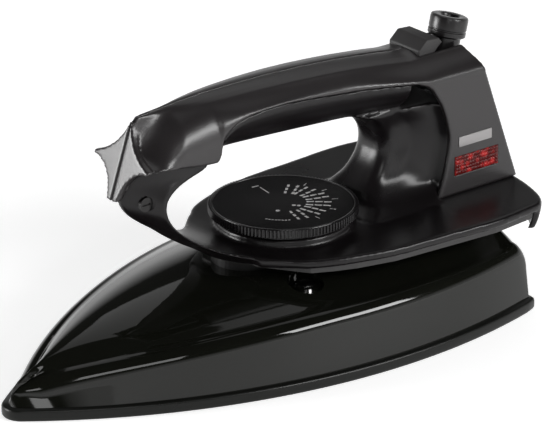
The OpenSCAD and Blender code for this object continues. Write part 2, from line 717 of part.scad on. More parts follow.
function ridge_at(x) = max(ridge_z - pow(x - dial_x + 23.5, 2) / (2 * ridge_r), ridge_z - 5.7);
star_z = under_z + 6.1;
star_x = dial_x - 81.4;
horn_b = horn_w / 2;
face_slope = 0.34;
function blend(s) = let (t = min(1, max(0, s))) t * t * (3 - 2 * t);
function bezier(a, b, c, t) = (1 - t) * (1 - t) * a + 2 * t * (1 - t) * b + t * t * c;

// Half width of the flat roof between the shells' upper edges
roof_line = [[-82, 0.5], [-75.5, 1.5], [-68.5, 2.2], [-61.5, 3.3], [-51.5, 5.3], [-38.5, 7.4],
    [-23.5, 8.7], [-8.5, 9.6], [6.5, 10.1], [60, 10.6]];

// Half section of the shells at x, from the ridge out and down to the seam
function shell_arc(x, inward) = let (s = blend((x - star_x) / 20), top = ridge_at(x) - inward,
    low = seam_z(x), b = (x < dial_x - 50 ? horn_b + (grip_b - horn_b) * s : grip_y(x)) - inward,
    roof = [lookup(x - dial_x, roof_line) * (1 - inward / grip_b), top - 1.9 * s],
    waist = [4 - 0.9 * inward, low + 4 - 1.2 * inward],
    dip = waist * (1 - s) + [roof[0] + 0.3 * (b - roof[0]), roof[1] - 2.5] * s,
    cheek = waist * (1 - s) + [b + 1.5, roof[1] - 5] * s)
    concat([[0, top], roof],
        [for (t = [1:5]) let (u = t / 5, v = 1 - u)
            v * v * v * roof + 3 * v * v * u * dip + 3 * v * u * u * cheek + u * u * u * [b, low]]);

// Sections near the face lean with it, and those at the rear with the panels' edge
function lean_x(x, z) = x + face_slope * (z - star_z) * (1 - blend((x - star_x) / 34))
    + (rear_x(z) - rear_top_x) * blend((x - rear_top_x + 30) / 30);
function shell_ring(x, inward) = let (arc = shell_arc(x, inward))
    [for (p = concat(arc, [[0, seam_z(x) - (inward > 0 ? 6 : 0)]])) [lean_x(x, p[1]), p[0], p[1]]];
function room_ring(x) = let (arc = shell_arc(x, shell_wall), low = seam_z(x) - 6)
    [for (p = concat(arc, [[arc[6][0], low], [0, low]])) [lean_x(x, p[1]), p[0], p[1]]];

rear_top_x = rear_x(ridge_z - 5.7);
panel_top = ridge_z - 15;
shell_xs = concat([for (s = [0, 4, 8, 13, 20, 27, 33, 37.6, 38.3, 41, 45, 52]) star_x + s],
    [for (k = [1:9]) star_x + 52 + k * 12], [rear_top_x - shell_wall - 0.1, rear_top_x]);
channel_xs = [for (x = shell_xs) if (x > dial_x - 43.5 && x < dial_x + 55) x];

star_half = concat([[0, 16.4], [0.6, 15.6]],
    [for (t = [0.25, 0.5, 0.75]) bezier([0.6, 15.6], [4.5, 4.5], [horn_b, 0.6], t)],
    [[horn_b, 0.6], [horn_b - 0.4, -0.6]],
    [for (t = [0.25, 0.5, 0.75]) bezier([horn_b - 0.4, -0.6], [5.5, -1.5], [3, -14.8], t)],
    [[3, -14.8], [0, -15]]);
function star_ring(depth) = [for (p = star_half)
    [star_x + depth + face_slope * p[1], p[0], star_z + p[1]]];

module panel_plate() {
    translate([0, panel_b, 0]) rotate([90, 0, 0]) linear_extrude(shell_wall)
        polygon(concat([for (share = [0, 0.15, 0.3, 0.45, 0.6, 0.7, 0.8, 0.9, 1, 1.1])
            [panel_x(share), up(share)]],
            [[panel_x(1.1) - 3, up(1.2)], [panel_x(1.1) - 8, up(1.27)], [panel_x(1.1) - 2, panel_top],
             [rear_x(panel_top), panel_top], [rear_x(deck_z), deck_z]]));
}

neck_screw_x = dial_x - 75.5;
neck_screw_z = up(0.72);
neck_seat_y = 5.5;
shell_screw_at = [[dial_x + 91, up(0.85)], [dial_x + 88, up(0.14)]];
head_screw = [dial_x - 60, up(1.33)];

// Half of the handle's skin, on the +Y side
module half_shell() difference() {
    shell_body() difference() {
        union() {
            loft([for (x = shell_xs) shell_ring(x, 0)]);
            loft([star_ring(-1.6), star_ring(1.2)]);
            panel_plate();
        }
        difference() {
            loft([for (x = shell_xs) if (x > star_x + 3 && x < rear_top_x - shell_wall) room_ring(x)]);
            y_rod(swivel_x, swivel_z, swivel_room_y, panel_b, trunnion_d + 5);
            y_rod(head_screw[0], head_screw[1], 0, grip_b, boss_d);
        }
        translate([0, -0.01, 0]) swivel_room();
        saddle_shape(0.1);
    }
    y_rod(swivel_x, swivel_z, 0, swivel_room_y + 5, trunnion_d + 2 * run_fit);
}

module left_shell() color(charcoal) difference() {
    union() {
        mirror([0, 1, 0]) half_shell();
        mirror([0, 1, 0]) neck_tab(0);
        for (p = shell_screw_at)
            y_rod(p[0], p[1], -post_b, -post_room_y - loose_fit, boss_d);
    }
    for (p = shell_screw_at)
        y_rod(p[0], p[1], -post_b, 0, screw_d);
    y_rod(head_screw[0], head_screw[1], -grip_b + 4, 0, screw_d);
    y_rod(neck_screw_x, neck_screw_z, -30, 30, screw_d + 2 * run_fit);
    translate([lens_x, -panel_b - 1, deck_z + lens_z]) cube([lens_l, shell_wall + 2, lens_h]);
}

// Sunk seats for the screw heads in the shell on the far side
module right_shell() color(charcoal) difference() {
    union() {
        half_shell();
        neck_tab(0);
    }
    for (p = shell_screw_at) {
        y_rod(p[0], p[1], 0, 40, screw_d + 2 * run_fit);
        y_rod(p[0], p[1], panel_b - 1.2, 40, 2 * screw_d + 0.4);
    }
    y_rod(head_screw[0], head_screw[1], 0, 40, screw_d + 2 * run_fit);
    y_rod(head_screw[0], head_screw[1], head_seat_y, 40, 2 * screw_d + 0.4);
    y_rod(neck_screw_x, neck_screw_z, -30, 30, screw_d + 2 * run_fit);
}

head_seat_y = 9;

// Pan-head screw lying along Y: its seat at y, its head towards side
module screw_along_y(x, z, y, side, length) difference() {
    union() {
        y_rod(x, z, min(y, y - side * length), max(y, y - side * length), screw_d);
        y_rod(x, z, min(y, y + side * 1.4), max(y, y + side * 1.4), 2 * screw_d);
    }
    translate([x, y + side * 1.4, z]) cube([4, 1.4, 0.8], center = true);
}

module shell_screws() color(steel) {
    for (p = shell_screw_at)
        screw_along_y(p[0], p[1], panel_b - 1.2, 1, panel_b - 1.2 + post_b - 1);
    screw_along_y(head_screw[0], head_screw[1], head_seat_y, 1, head_seat_y + grip_b - 5);
}

module neck_screw() color(steel)
    screw_along_y(neck_screw_x, neck_screw_z, -neck_seat_y, -1, neck_seat_y + 5);

module rear_cover() color(black) difference() {
    translate([0, post_room_y - 0.15, 0]) rotate([90, 0, 0]) linear_extrude(2 * post_room_y - 0.3)
        polygon([for (e = [[0, 0.2], [0, -0.2 + room_top - room_low]]) let (z = room_low + e[1])
                [rear_x(z) - 1.2, z],
            for (e = [-0.2 + room_top - room_low, 0.2]) let (z = room_low + e)
                [rear_x(z) - 1.2 - rear_cover_t, z]]);
    x_rod(0, rear_boss_z, rear_boss_x - 10, rear_boss_x + 10, screw_d + 2 * loose_fit);
}

module rear_cover_screw() color(steel) {
    x_rod(0, rear_boss_z, rear_boss_x - 7, rear_x(rear_boss_z), screw_d);
    x_rod(0, rear_boss_z, rear_x(rear_boss_z - screw_d) - 1.2, rear_x(rear_boss_z) + 0.8, 2 * screw_d);
}

/* ---- Dial ---- */

legend_r = dial_d / 2 - 2;
legend_t = 0.8;
legend_z = deck_z + dial_top - 0.2 - legend_t;
flat_x = spindle_d / 2 - 1.2;

module dial() color(black) difference() {
    union() {
        translate([dial_x, 0, dial_low]) cylinder(h = dial_t, d = dial_d, $fn = 96);
        translate([dial_x, 0, dial_low - hub_h]) cylinder(h = hub_h + 1, r = hub_r);
    }
    translate([dial_x, 0, legend_z]) cylinder(h = 5, r = legend_r, $fn = 96);
    translate([dial_x, 0, spindle_top - 0.9]) cylinder(h = 5, r = hub_r);
    difference() {
        translate([dial_x, 0, dial_low - 5]) cylinder(h = 20, r = spindle_d / 2 + run_fit);
        translate([dial_x + flat_x + run_fit, -spindle_d, dial_low - 6]) cube([9, 2 * spindle_d, 30]);
    }
}

module dial_legend() color(black)
    translate([dial_x, 0, legend_z]) cylinder(h = legend_t, r = legend_r, $fn = 96);

module dial_clip() color(steel) difference() {
    translate([dial_x, 0, spindle_top - 0.9]) cylinder(h = 0.7, r = hub_r);
    translate([dial_x, 0, spindle_top - 2]) cylinder(h = 3, r = spindle_d / 2 + run_fit);
    translate([dial_x, -0.8, spindle_top - 2]) cube([10, 1.6, 3]);
}

/* ---- Pilot lamp, label and terminals ---- */

module pilot_lens() color([0.75, 0.06, 0.04])
    translate([lens_x, -panel_b - 0.6, deck_z + lens_z]) cube([lens_l, shell_wall + 0.6, lens_h]);

module label_bar() color([0.6, 0.6, 0.6])
    translate([lens_x + 2, -panel_b - 0.3, deck_z + lens_z + lens_h + 4]) cube([18, 0.3, 4.4]);

module neon_lamp() color([0.9, 0.6, 0.4]) x_rod(lamp_y, lamp_z, lens_x + 3, lens_x + 15, lamp_d);

module lamp_resistor() color(ceramic)
    x_rod(lamp_y, lamp_z, lens_x + 15, lens_x + 22, 2.6);

block_x = dial_x + 66;
block_z = up(0.33);
block_size = [24, 8, 14];
wall_screws = [[block_x + 4, block_z + 10], [block_x + 12, block_z + 10], [block_x + 20, block_z + 10],
    [block_x + 6, block_z + 20], [block_x + 18, block_z + 20]];

module terminal_block() color(ceramic) difference() {
    translate([block_x, post_room_y - block_size[1], block_z]) cube(block_size);
    for (k = [0:2])
        y_rod(wall_screws[k][0], wall_screws[k][1], 0, post_room_y + 1, 2);
}

module terminal_screws() color(brass) for (k = [0:2]) {
    y_rod(wall_screws[k][0], wall_screws[k][1], post_room_y - block_size[1], post_room_y + 3, 2);
    y_rod(wall_screws[k][0], wall_screws[k][1], post_room_y - block_size[1] - 1.6,
        post_room_y - block_size[1], 4.4);
}

module cord_clamp() color(charcoal) difference() {
    translate([block_x + 2, post_room_y - 4, block_z + 16.5]) cube([20, 4, 6.5]);
    for (k = [3:4])
        y_rod(wall_screws[k][0], wall_screws[k][1], 0, post_room_y + 1, 2);
}

module clamp_screws() color(steel) for (k = [3:4]) {
    y_rod(wall_screws[k][0], wall_screws[k][1], post_room_y - 4, post_room_y + 3, 2);
    y_rod(wall_screws[k][0], wall_screws[k][1], post_room_y - 5.4, post_room_y - 4, 4);
}

/* ---- Leads ---- */

lead_d = 2.4;
earth_x = dial_x + 47;
earth_y = 12;

// Round lead through points, with 8 sides
module lead(points) {
    n = len(points);
    loft([for (i = [0:n - 1]) let (
        a = points[max(0, i - 1)], b = points[min(n - 1, i + 1)], d = (b - a) / norm(b - a),
        u = cross(d, [1, 0, 0]) / norm(cross(d, [1, 0, 0])), v = cross(d, u))
        [for (k = [0:7]) points[i] + lead_d / 2 * (cos(45 * k) * u + sin(45 * k) * v)]]);
}

terminal_top = element_z + 15;
block_port_y = post_room_y - block_size[1] / 2;

module live_lead() color([0.55, 0.3, 0.15]) lead([
    [block_x + 4, block_port_y, block_z - 0.1], [block_x + 4, block_port_y, block_z - 2],
    [block_x + 4, block_port_y - 2, block_z - 5],
    [lead_x - 5, 4, deck_z + 2], [lead_x - 6, 4, base_z], [lead_x - 6, 3, base_z - 9],
    [fuse_x + 20, -9, press_z + 8], [fuse_x + 13, fuse_axis_y - 1, press_z + fuse_d / 2 + 0.3],
    [fuse_x + 8.2, fuse_axis_y, press_z + fuse_d / 2]]);

module neutral_lead() color([0.2, 0.35, 0.65]) lead([
    [block_x + 12, block_port_y, block_z - 0.1], [block_x + 12, block_port_y, block_z - 2],
    [block_x + 11, block_port_y - 6, block_z - 6], [lead_x - 3, -3, deck_z + 2],
    [lead_x - 4, -3.5, base_z], [lead_x - 5, -4, seat_z - 5], [lead_x - 8, -8, seat_z - 9],
    [terminal_x + 4, -leg_y + 3, terminal_top + 6], [terminal_x, -leg_y, terminal_top + 3],
    [terminal_x, -leg_y, terminal_top]]);

module element_lead() color([0.55, 0.3, 0.15]) lead([
    [stack_x, 3, moving_z + 5], [stack_x + 12, 13, moving_z + 6], [dial_x + 20, 17, moving_z + 4],
    [terminal_x - 12, leg_y - 2, terminal_top + 4], [terminal_x - 3, leg_y, terminal_top + 4],
    [terminal_x, leg_y, terminal_top + 2.5], [terminal_x, leg_y, terminal_top]]);

module earth_lead() color([0.3, 0.6, 0.3]) lead([
    [block_x + 20, block_port_y, block_z - 0.1], [block_x + 20, block_port_y, block_z - 2],
    [block_x + 17, block_port_y - 5, block_z - 6],
    [lead_x + 4, 3, deck_z + 2], [lead_x + 3, 3, base_z], [lead_x + 2, 4, base_z - 9],
    [terminal_x - 1, earth_y - 2, press_z + 7], [earth_x + 10, earth_y, press_z + 2],
    [earth_x + 4.4, earth_y, press_z + 1.8]]);

module earth_screw() color(brass) screw_down(earth_x, earth_y, press_z + 1, screw_d, 5);

/* ---- Cord inlet ---- */

swivel_x = dial_x + 84.5;
swivel_z = ridge_z - 16.7;
swivel_room_r = 14.8;
swivel_room_y = 9.5;
barrel_r = 6.5;
barrel_y = 7.8;
bush_reach = 11.2;
stem_d = cord_d + 2.4;

module swivel_room() y_rod(swivel_x, swivel_z, -swivel_room_y, swivel_room_y, 2 * swivel_room_r);

// Places its children on the bush's axis, counted from the trunnions
module on_bush_axis() {
    translate([swivel_x, 0, swivel_z]) rotate([0, bush_lean, 0]) children();
}

// Wedge across the handle's top in front of the bush
module saddle_shape(grow) {
    translate([0, 9.5 + grow, 0]) rotate([90, 0, 0]) linear_extrude(19 + 2 * grow) polygon([
        [dial_x + 64 - grow, ridge_z - 9.5], [dial_x + 64 - grow, ridge_z - 5.2],
        [dial_x + 68.5, ridge_z - 1.2 + grow], [dial_x + 75, ridge_z - 1.6 + grow],
        [dial_x + 77 + 20 * grow, ridge_z - 4], [dial_x + 71 + 40 * grow, ridge_z - 9.5]]);
}

module cord_saddle() color([0.16, 0.15, 0.16]) difference() {
    saddle_shape(0);
    y_rod(swivel_x, swivel_z, -20, 20, 2 * swivel_room_r);
}

module swivel_cradle() color(black) difference() {
    union() {
        y_rod(swivel_x, swivel_z, -barrel_y, barrel_y, 2 * barrel_r);
        y_rod(swivel_x, swivel_z, -barrel_y - 5, barrel_y + 5, trunnion_d);
        on_bush_axis() cylinder(h = bush_reach - 0.4, d = stem_d + 3);
    }
    on_bush_axis() translate([0, 0, -20]) cylinder(h = 40, r = stem_d / 2 + run_fit);
}

module cord_bush() color(black) on_bush_axis() difference() {
    union() {
        translate([0, 0, bush_reach]) cylinder(h = bush_h, d = bush_d);
        translate([0, 0, -barrel_r - 2]) cylinder(h = bush_reach + barrel_r + 3, d = stem_d);
    }
    translate([0, 0, -20]) cylinder(h = 60, d = cord_d);
}

module bush_clip() color(steel) on_bush_axis() translate([0, 0, -barrel_r - 1.6]) difference() {
    cylinder(h = 0.8, d = stem_d + 4);
    translate([0, 0, -1]) cylinder(h = 3, d = stem_d);
}

soleplate();
heating_element();
element_insulators();
pressure_plate();
mounting_studs();
stud_washers();
stud_nuts();
thermostat_frame();
thermostat_screws();
insulator_stack();
stack_rivet();
bimetal_strip();
fixed_contact();
moving_contact();
thermostat_spindle();
thermal_fuse();
fuse_clamp();
fuse_screw();
cover();
cover_screws();
heat_spacer();
base_plate();
base_screws();
handle_core();
left_shell();
right_shell();
shell_screws();
neck_screw();
rear_cover();
rear_cover_screw();
dial();
dial_legend();
dial_clip();
pilot_lens();
label_bar();
neon_lamp();
lamp_resistor();
terminal_block();
terminal_screws();
cord_clamp();
clamp_screws();
live_lead();
neutral_lead();
element_lead();
earth_lead();
earth_screw();
cord_saddle();
swivel_cradle();
cord_bush();
bush_clip();
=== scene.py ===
# %% [markdown]
# # A dry clothes iron
# An iron is a few big smooth shapes and many small exact ones. The exact ones, such as shafts, screws
# and the dial's bore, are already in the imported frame. Here every visible skin is made again as a fine
# mesh in the same place, from the same few sizes, and every surface gets its finish.

# %% Load the frame
import json
import math

import bmesh
import bpy
import numpy as np
from mathutils import Matrix, Vector


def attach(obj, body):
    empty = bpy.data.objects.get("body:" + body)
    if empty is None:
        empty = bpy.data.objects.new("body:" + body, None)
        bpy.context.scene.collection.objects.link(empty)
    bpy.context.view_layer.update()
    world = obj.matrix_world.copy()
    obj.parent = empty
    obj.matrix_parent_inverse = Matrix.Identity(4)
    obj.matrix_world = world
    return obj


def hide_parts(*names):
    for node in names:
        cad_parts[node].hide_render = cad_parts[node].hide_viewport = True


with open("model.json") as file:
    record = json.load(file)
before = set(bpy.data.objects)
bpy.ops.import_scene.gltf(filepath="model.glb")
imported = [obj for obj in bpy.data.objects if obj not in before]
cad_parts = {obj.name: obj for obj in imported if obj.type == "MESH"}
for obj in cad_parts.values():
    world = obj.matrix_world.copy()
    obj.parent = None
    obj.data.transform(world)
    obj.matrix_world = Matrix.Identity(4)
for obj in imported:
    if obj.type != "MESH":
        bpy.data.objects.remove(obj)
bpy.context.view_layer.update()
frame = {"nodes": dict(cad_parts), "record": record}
nodes = frame["nodes"]

# %% [markdown]
# ## Camera
# The iron is seen from its nose side and a little from above, through a long lens. A long lens keeps
# parallel edges nearly parallel, which is how products are usually shown.

# %% Place the camera
camera_at = Vector((-1.07797, -1.34663, 0.76395))
look_at = Vector((0.02099, 0.0, 0.04715))
camera_data = bpy.data.cameras.new("view_camera")
camera_data.lens = 297.8
camera_data.sensor_width = 36.0
camera_data.clip_end = 50.0
camera = bpy.data.objects.new("view_camera", camera_data)
camera.location = camera_at
camera.rotation_euler = (look_at - camera_at).to_track_quat("-Z", "Y").to_euler()
bpy.context.scene.collection.objects.link(camera)
bpy.context.scene.camera = camera
print("camera distance:", round((look_at - camera_at).length, 3), "m")

# %% [markdown]
# ## Floor and light
# Glossy black mouldings show almost nothing of their own colour: what is seen is the room reflected
# in them. So the light comes from a few wide soft panels. The floor glows white, and the air is white
# only near the horizon and dark above, which keeps the upper faces black.

# %% Build the floor and the light panels
floor_mesh = bpy.data.meshes.new("floor")
floor_half = 6.0
floor_mesh.from_pydata([(-floor_half, -floor_half, 0), (floor_half, -floor_half, 0),
                        (floor_half, floor_half, 0), (-floor_half, floor_half, 0)], [], [(0, 1, 2, 3)])
floor = bpy.data.objects.new("floor", floor_mesh)
bpy.context.scene.collection.objects.link(floor)

floor_finish = bpy.data.materials.new("floor_white")
floor_finish.use_nodes = True
floor_shader = floor_finish.node_tree.nodes["Principled BSDF"]
floor_shader.inputs["Base Color"].default_value = (0.93, 0.93, 0.93, 1)
floor_shader.inputs["Roughness"].default_value = 0.6
floor_shader.inputs["Emission Color"].default_value = (1, 1, 1, 1)
floor_shader.inputs["Emission Strength"].default_value = 0.55
floor_mesh.materials.append(floor_finish)

world = bpy.data.worlds.new("studio_air")
world.use_nodes = True
air = world.node_tree.nodes["Background"]
look_way = world.node_tree.nodes.new("ShaderNodeTexCoord")
split_way = world.node_tree.nodes.new("ShaderNodeSeparateXYZ")
band = world.node_tree.nodes.new("ShaderNodeValToRGB")
horizon_top, dark_from, horizon_grey, upper_grey = 0.08, 0.30, 0.9, 0.03
for stop, height, grey in zip(band.color_ramp.elements, (horizon_top, dark_from), (horizon_grey, upper_grey)):
    stop.position, stop.color = height, (grey, grey, grey, 1)
world.node_tree.links.new(look_way.outputs["Generated"], split_way.inputs["Vector"])
world.node_tree.links.new(split_way.outputs["Z"], band.inputs["Fac"])
world.node_tree.links.new(band.outputs["Color"], air.inputs["Color"])
air.inputs["Strength"].default_value = 1.0
bpy.context.scene.world = world


def light_panel(name, place, target, size, power):
    """Soft rectangular light at a place, turned to a target."""
    data = bpy.data.lights.new(name, "AREA")
    data.shape = "RECTANGLE"
    data.size, data.size_y = size
    data.energy = power
    panel = bpy.data.objects.new(name, data)
    panel.location = place
    direction = Vector(target) - Vector(place)
    panel.rotation_euler = direction.to_track_quat("-Z", "Y").to_euler()
    bpy.context.scene.collection.objects.link(panel)
    return panel


light_panel("panel_above", (0.9, 0.9, 1.7), (0.0, 0.0, 0.05), (1.6, 1.6), 5.0)
light_panel("panel_face", (-1.6, 1.15, 0.45), (-0.05, 0.0, 0.08), (0.9, 0.7), 34.0)
light_panel("panel_right", (0.8, -1.7, 1.0), (0.0, 0.0, 0.09), (1.1, 0.55), 30.0)
light_panel("panel_camera", (-1.2, -2.1, 1.5), (0.0, 0.0, 0.06), (1.2, 0.6), 10.0)
bpy.context.scene.view_settings.view_transform = "Standard"
print("light panels: 4")

# %% [markdown]
# ## Sizes and smooth curves
# Every moulding is drawn from a few stations, and the surface runs smoothly through them. A curve that
# passes through its points keeps the sizes exact, which a subdivided cage would shrink a little.

# %% Sizes in millimetres, and curves through points
MM = 0.001
heel_x, nose_x = 118.0, -118.0
dial_x, deck_end, half_w = 23.5, 133.5, 61.3
wide_x, nose_r = 45.0, 8.0
deck_z, ridge_z = 47.0, 114.4
under_z, gap_h = 88.0, 41.0
grip_b, panel_b, wall = 16.0, 21.5, 2.4
post_b = panel_b - wall


def through(points, x):
    """Smooth value at x through (x, value) points, without overshoot."""
    table = np.array(points, float)
    px, py = table[:, 0], table[:, 1]
    step = np.diff(px)
    slope = np.diff(py) / step
    grade = np.zeros(len(px))
    grade[0], grade[-1] = slope[0], slope[-1]
    same = slope[:-1] * slope[1:] > 0
    total = np.where(same, slope[:-1] + slope[1:], 1.0)
    grade[1:-1] = np.where(same, 2 * slope[:-1] * slope[1:] / total, 0.0)
    x = np.clip(x, px[0], px[-1])
    k = np.clip(np.searchsorted(px, x) - 1, 0, len(step) - 1)
    t = (x - px[k]) / step[k]
    return ((2 * t**3 - 3 * t**2 + 1) * py[k] + (t**3 - 2 * t**2 + t) * step[k] * grade[k]
            + (3 * t**2 - 2 * t**3) * py[k + 1] + (t**3 - t**2) * step[k] * grade[k + 1])


def spline(points, steps):
    """Open curve through points, with a number of pieces between neighbours."""
    p = np.array(points, float)
    longer = np.concatenate([[2 * p[0] - p[1]], p, [2 * p[-1] - p[-2]]])
    a, b, c, d = longer[:-3], longer[1:-2], longer[2:-1], longer[3:]
    rows = []
    for t in np.arange(steps) / steps:
        rows.append(0.5 * (2 * b + (c - a) * t + (2 * a - 5 * b + 4 * c - d) * t**2
                           + (3 * b - a - 3 * c + d) * t**3))
    line = np.stack(rows, 1).reshape((-1,) + p.shape[1:])
    return np.concatenate([line, p[-1:]])


def blend(s):
    """Smooth step from 0 to 1."""
    t = np.clip(s, 0.0, 1.0)
    return t * t * (3 - 2 * t)


def up(share):
    """Height at a share of the finger gap above the deck."""
    return deck_z + share * gap_h


# %% [markdown]
# ## Three ways of making a solid
# A loft joins rings of points. A turned piece spins a profile. Fusing puts overlapping lofts into one
# skin through a fine voxel grid, which leaves the small fillets that a real moulding has. Holes are
# cut after that, so that their edges stay crisp.

# %% Lofts, turned pieces, fused mouldings and cuts
def place_mesh(name, verts, faces):
    """Object at the origin from points in millimetres, its faces outwards."""
    data = bpy.data.meshes.new(name)
    data.from_pydata([tuple(v) for v in np.array(verts, float) * MM], [], faces)
    tidy = bmesh.new()
    tidy.from_mesh(data)
    bmesh.ops.remove_doubles(tidy, verts=tidy.verts, dist=1e-7)
    bmesh.ops.recalc_face_normals(tidy, faces=tidy.faces)
    tidy.to_mesh(data)
    tidy.free()
    data.shade_smooth()
    piece = bpy.data.objects.new(name, data)
    bpy.context.scene.collection.objects.link(piece)
    return piece


def loft(name, rings, ends=True, turn=False):
    """Closed skin through rings of points; turn joins the last ring to the first."""
    rings = np.array(rings, float)
    rows, around = rings.shape[:2]
    faces = []
    for k in range(rows if turn else rows - 1):
        low, high = k * around, (k + 1) % rows * around
        for i in range(around):
            j = (i + 1) % around
            faces.append((low + i, low + j, high + j, high + i))
    if ends and not turn:
        faces += [tuple(range(around)), tuple(range((rows - 1) * around, rows * around))]
    return place_mesh(name, rings.reshape(-1, 3), faces)


def turned(name, profile, centre=(0, 0), parts=96, axis=None):
    """Profile of (radius, height) points spun about an upright axis, closed on the axis."""
    rings = []
    for k in range(parts):
        a = 2 * math.pi * k / parts
        rings.append([(centre[0] + r * math.cos(a), centre[1] + r * math.sin(a), z) for r, z in profile])
    piece = loft(name, rings, ends=False, turn=True)
    if axis is not None:
        piece.data.transform(axis)
    return piece


def rod(name, start, end, radius, parts=48):
    """Plain round bar between two points, used for cutting."""
    a, b = Vector(start), Vector(end)
    turn = (b - a).to_track_quat("Z", "Y").to_matrix()
    rings = [[tuple(p + turn @ Vector((radius * math.cos(2 * math.pi * k / parts),
                                       radius * math.sin(2 * math.pi * k / parts), 0)))
              for k in range(parts)] for p in (a, b)]
    return loft(name, rings)


def settle(piece):
    """Turns a piece and its modifiers into a plain mesh."""
    made = piece.evaluated_get(bpy.context.evaluated_depsgraph_get())
    data = bpy.data.meshes.new_from_object(made)
    piece.modifiers.clear()
    old, piece.data = piece.data, data
    bpy.data.meshes.remove(old)
    return piece


def together(name, pieces):
    """One object from several, its meshes only put side by side."""
    joined = bmesh.new()
    for piece in pieces:
        joined.from_mesh(piece.data)
        bpy.data.objects.remove(piece)
    data = bpy.data.meshes.new(name)
    joined.to_mesh(data)
    joined.free()
    made = bpy.data.objects.new(name, data)
    bpy.context.scene.collection.objects.link(made)
    return made


def fused(name, pieces, voxel, rounds):
    """One skin round overlapping solids, with its edges softened."""
    made = together(name, pieces)
    step = made.modifiers.new("skin", "REMESH")
    step.mode = "VOXEL"
    step.voxel_size = voxel * MM
    soften = made.modifiers.new("soften", "SMOOTH")
    soften.factor = 0.5
    soften.iterations = rounds
    settle(made)
    made.data.shade_smooth()
    return made


def cut(piece, tool):
    """Takes a tool out of a piece, and uses the tool up."""
    step = piece.modifiers.new("cut", "BOOLEAN")
    step.operation, step.object, step.solver = "DIFFERENCE", tool, "EXACT"
    settle(piece)
    bpy.data.objects.remove(tool)
    return piece


def crisp(piece, degrees=35):
    """Smooth shading that stays sharp at edges steeper than an angle."""
    piece.data.shade_smooth()
    piece.data.set_sharp_from_angle(angle=math.radians(degrees))
    return piece


def box_tool(low, high):
    """Plain block for cutting."""
    ring = [(low[0], low[1]), (high[0], low[1]), (high[0], high[1]), (low[0], high[1])]
    return loft("block", [[(x, y, z) for x, y in ring] for z in (low[2], high[2])])


def triangles(piece):
    """Number of triangles in a piece's mesh."""
    return sum(len(face.vertices) - 2 for face in piece.data.polygons)


print("makers ready")

# %% [markdown]
# ## Soleplate
# The sole is a casting with an even rim. Its outline is one long arc on each side that runs into a
# small round nose. The rim's edges are softened by listed rings, because they catch the light as
# one long thin line.

# %% Make the soleplate and its rim
tip_x = nose_x + nose_r
side_r = ((wide_x - tip_x) ** 2 + half_w**2 - nose_r**2) / (2 * (half_w - nose_r))
touch_x = tip_x - nose_r * (wide_x - tip_x) / (side_r - nose_r)


def outline_y(x, inset):
    """Half width of the sole's outline at x, drawn in by a distance."""
    if nose_r > inset and x < touch_x + inset * (wide_x - tip_x) / (side_r - nose_r):
        return math.sqrt(max(0.0, (nose_r - inset) ** 2 - (x - tip_x) ** 2))
    return max(0.0, math.sqrt((side_r - inset) ** 2 - (x - wide_x) ** 2) - side_r + half_w)


def outline_front(inset):
    """Foremost x of the outline drawn in by a distance."""
    if inset < nose_r:
        return nose_x + inset
    return wide_x - math.sqrt((side_r - inset) ** 2 - (side_r - half_w) ** 2)


def outline(inset, steps=90, heel_bow=2.0):
    """Closed outline of the sole as (x, y) points, drawn in by a distance."""
    front, back, corner = outline_front(inset), heel_x - inset, 2.0
    side = []
    for k in range(1, steps):
        x = front + (back - corner - front) * (1 - math.cos(math.pi / 2 * (k / (steps - 1)) ** 0.85))
        side.append((x, outline_y(x, inset)))
    y_end = outline_y(back, inset)
    turn = [(back - corner + corner * math.sin(a), y_end - corner + corner * math.cos(a))
            for a in np.radians([20, 45, 70, 90])]
    bow = [(back + heel_bow * (1 - (f / (y_end - corner)) ** 2), f)
           for f in np.linspace(y_end - corner, corner - y_end, 13)[1:-1]]
    half = [(front, 0.0)] + side[:-1] + turn
    return np.array(half + bow + [(x, -y) for x, y in half[:0:-1]])


rim = [(1.6, 0.0), (0.5, 0.25), (0.1, 0.8), (0.0, 1.4), (0.0, 3.9), (0.2, 4.6), (0.7, 5.0)]
pad = [(12.0, 5.0), (12.0, 9.4), (12.6, 10.0)]
soleplate = loft("soleplate_casting", [[(x, y, z) for x, y in outline(inset)] for inset, z in rim + pad])

leg_y, sheath_r, element_front, element_back, element_z = 20.0, 3.55, -36.5, 85.5, 6.5
path = [(element_back, leg_y, 0)] + [
    (element_front - leg_y * math.sin(a), leg_y * math.cos(a), 0) for a in np.linspace(0, math.pi, 33)
] + [(element_back, -leg_y, 0)]
path = np.array(path)
ahead = np.gradient(path, axis=0)
ahead /= np.linalg.norm(ahead, axis=1)[:, None]
beside = np.stack([-ahead[:, 1], ahead[:, 0], 0 * ahead[:, 0]], 1)
slot = [(sheath_r * math.cos(a), element_z + sheath_r * math.sin(a))
        for a in np.linspace(0, -math.pi, 17)] + [(-sheath_r, 12.0), (sheath_r, 12.0)]
groove = loft("groove", [[p + d * across + np.array((0, 0, z)) for across, z in slot]
                         for p, d in zip(path, beside)])
cut(soleplate, groove)
crisp(soleplate, 40)
print("soleplate triangles:", triangles(soleplate))

# %% [markdown]
# ## Cover
# The cover is one deep-drawn sheet. Its wall leans in a little, its shoulder falls towards the nose in
# one slow line, and its top is gently crowned. Each cross-section follows the same rule, so a loft
# gives long clean reflections. Two round recesses are sunk into it for its screws.

# %% Make the cover
cover_inset, cover_lean, cover_wall = 2.5, 2.0, 1.0
shoulder_z, nose_drop, shoulder_r, seat_h = 29.5, 20.5, 6.5, 7.5
seat_z, sole_t = shoulder_z + seat_h, 5.0
cover_screw_x, cover_screw_y, recess_r, recess_deep = dial_x - 13.9, 31.0, 7.5, 3
screw_hole_r, spindle_hole_r, lead_y, above = 2.05, 5.0, 7, 60


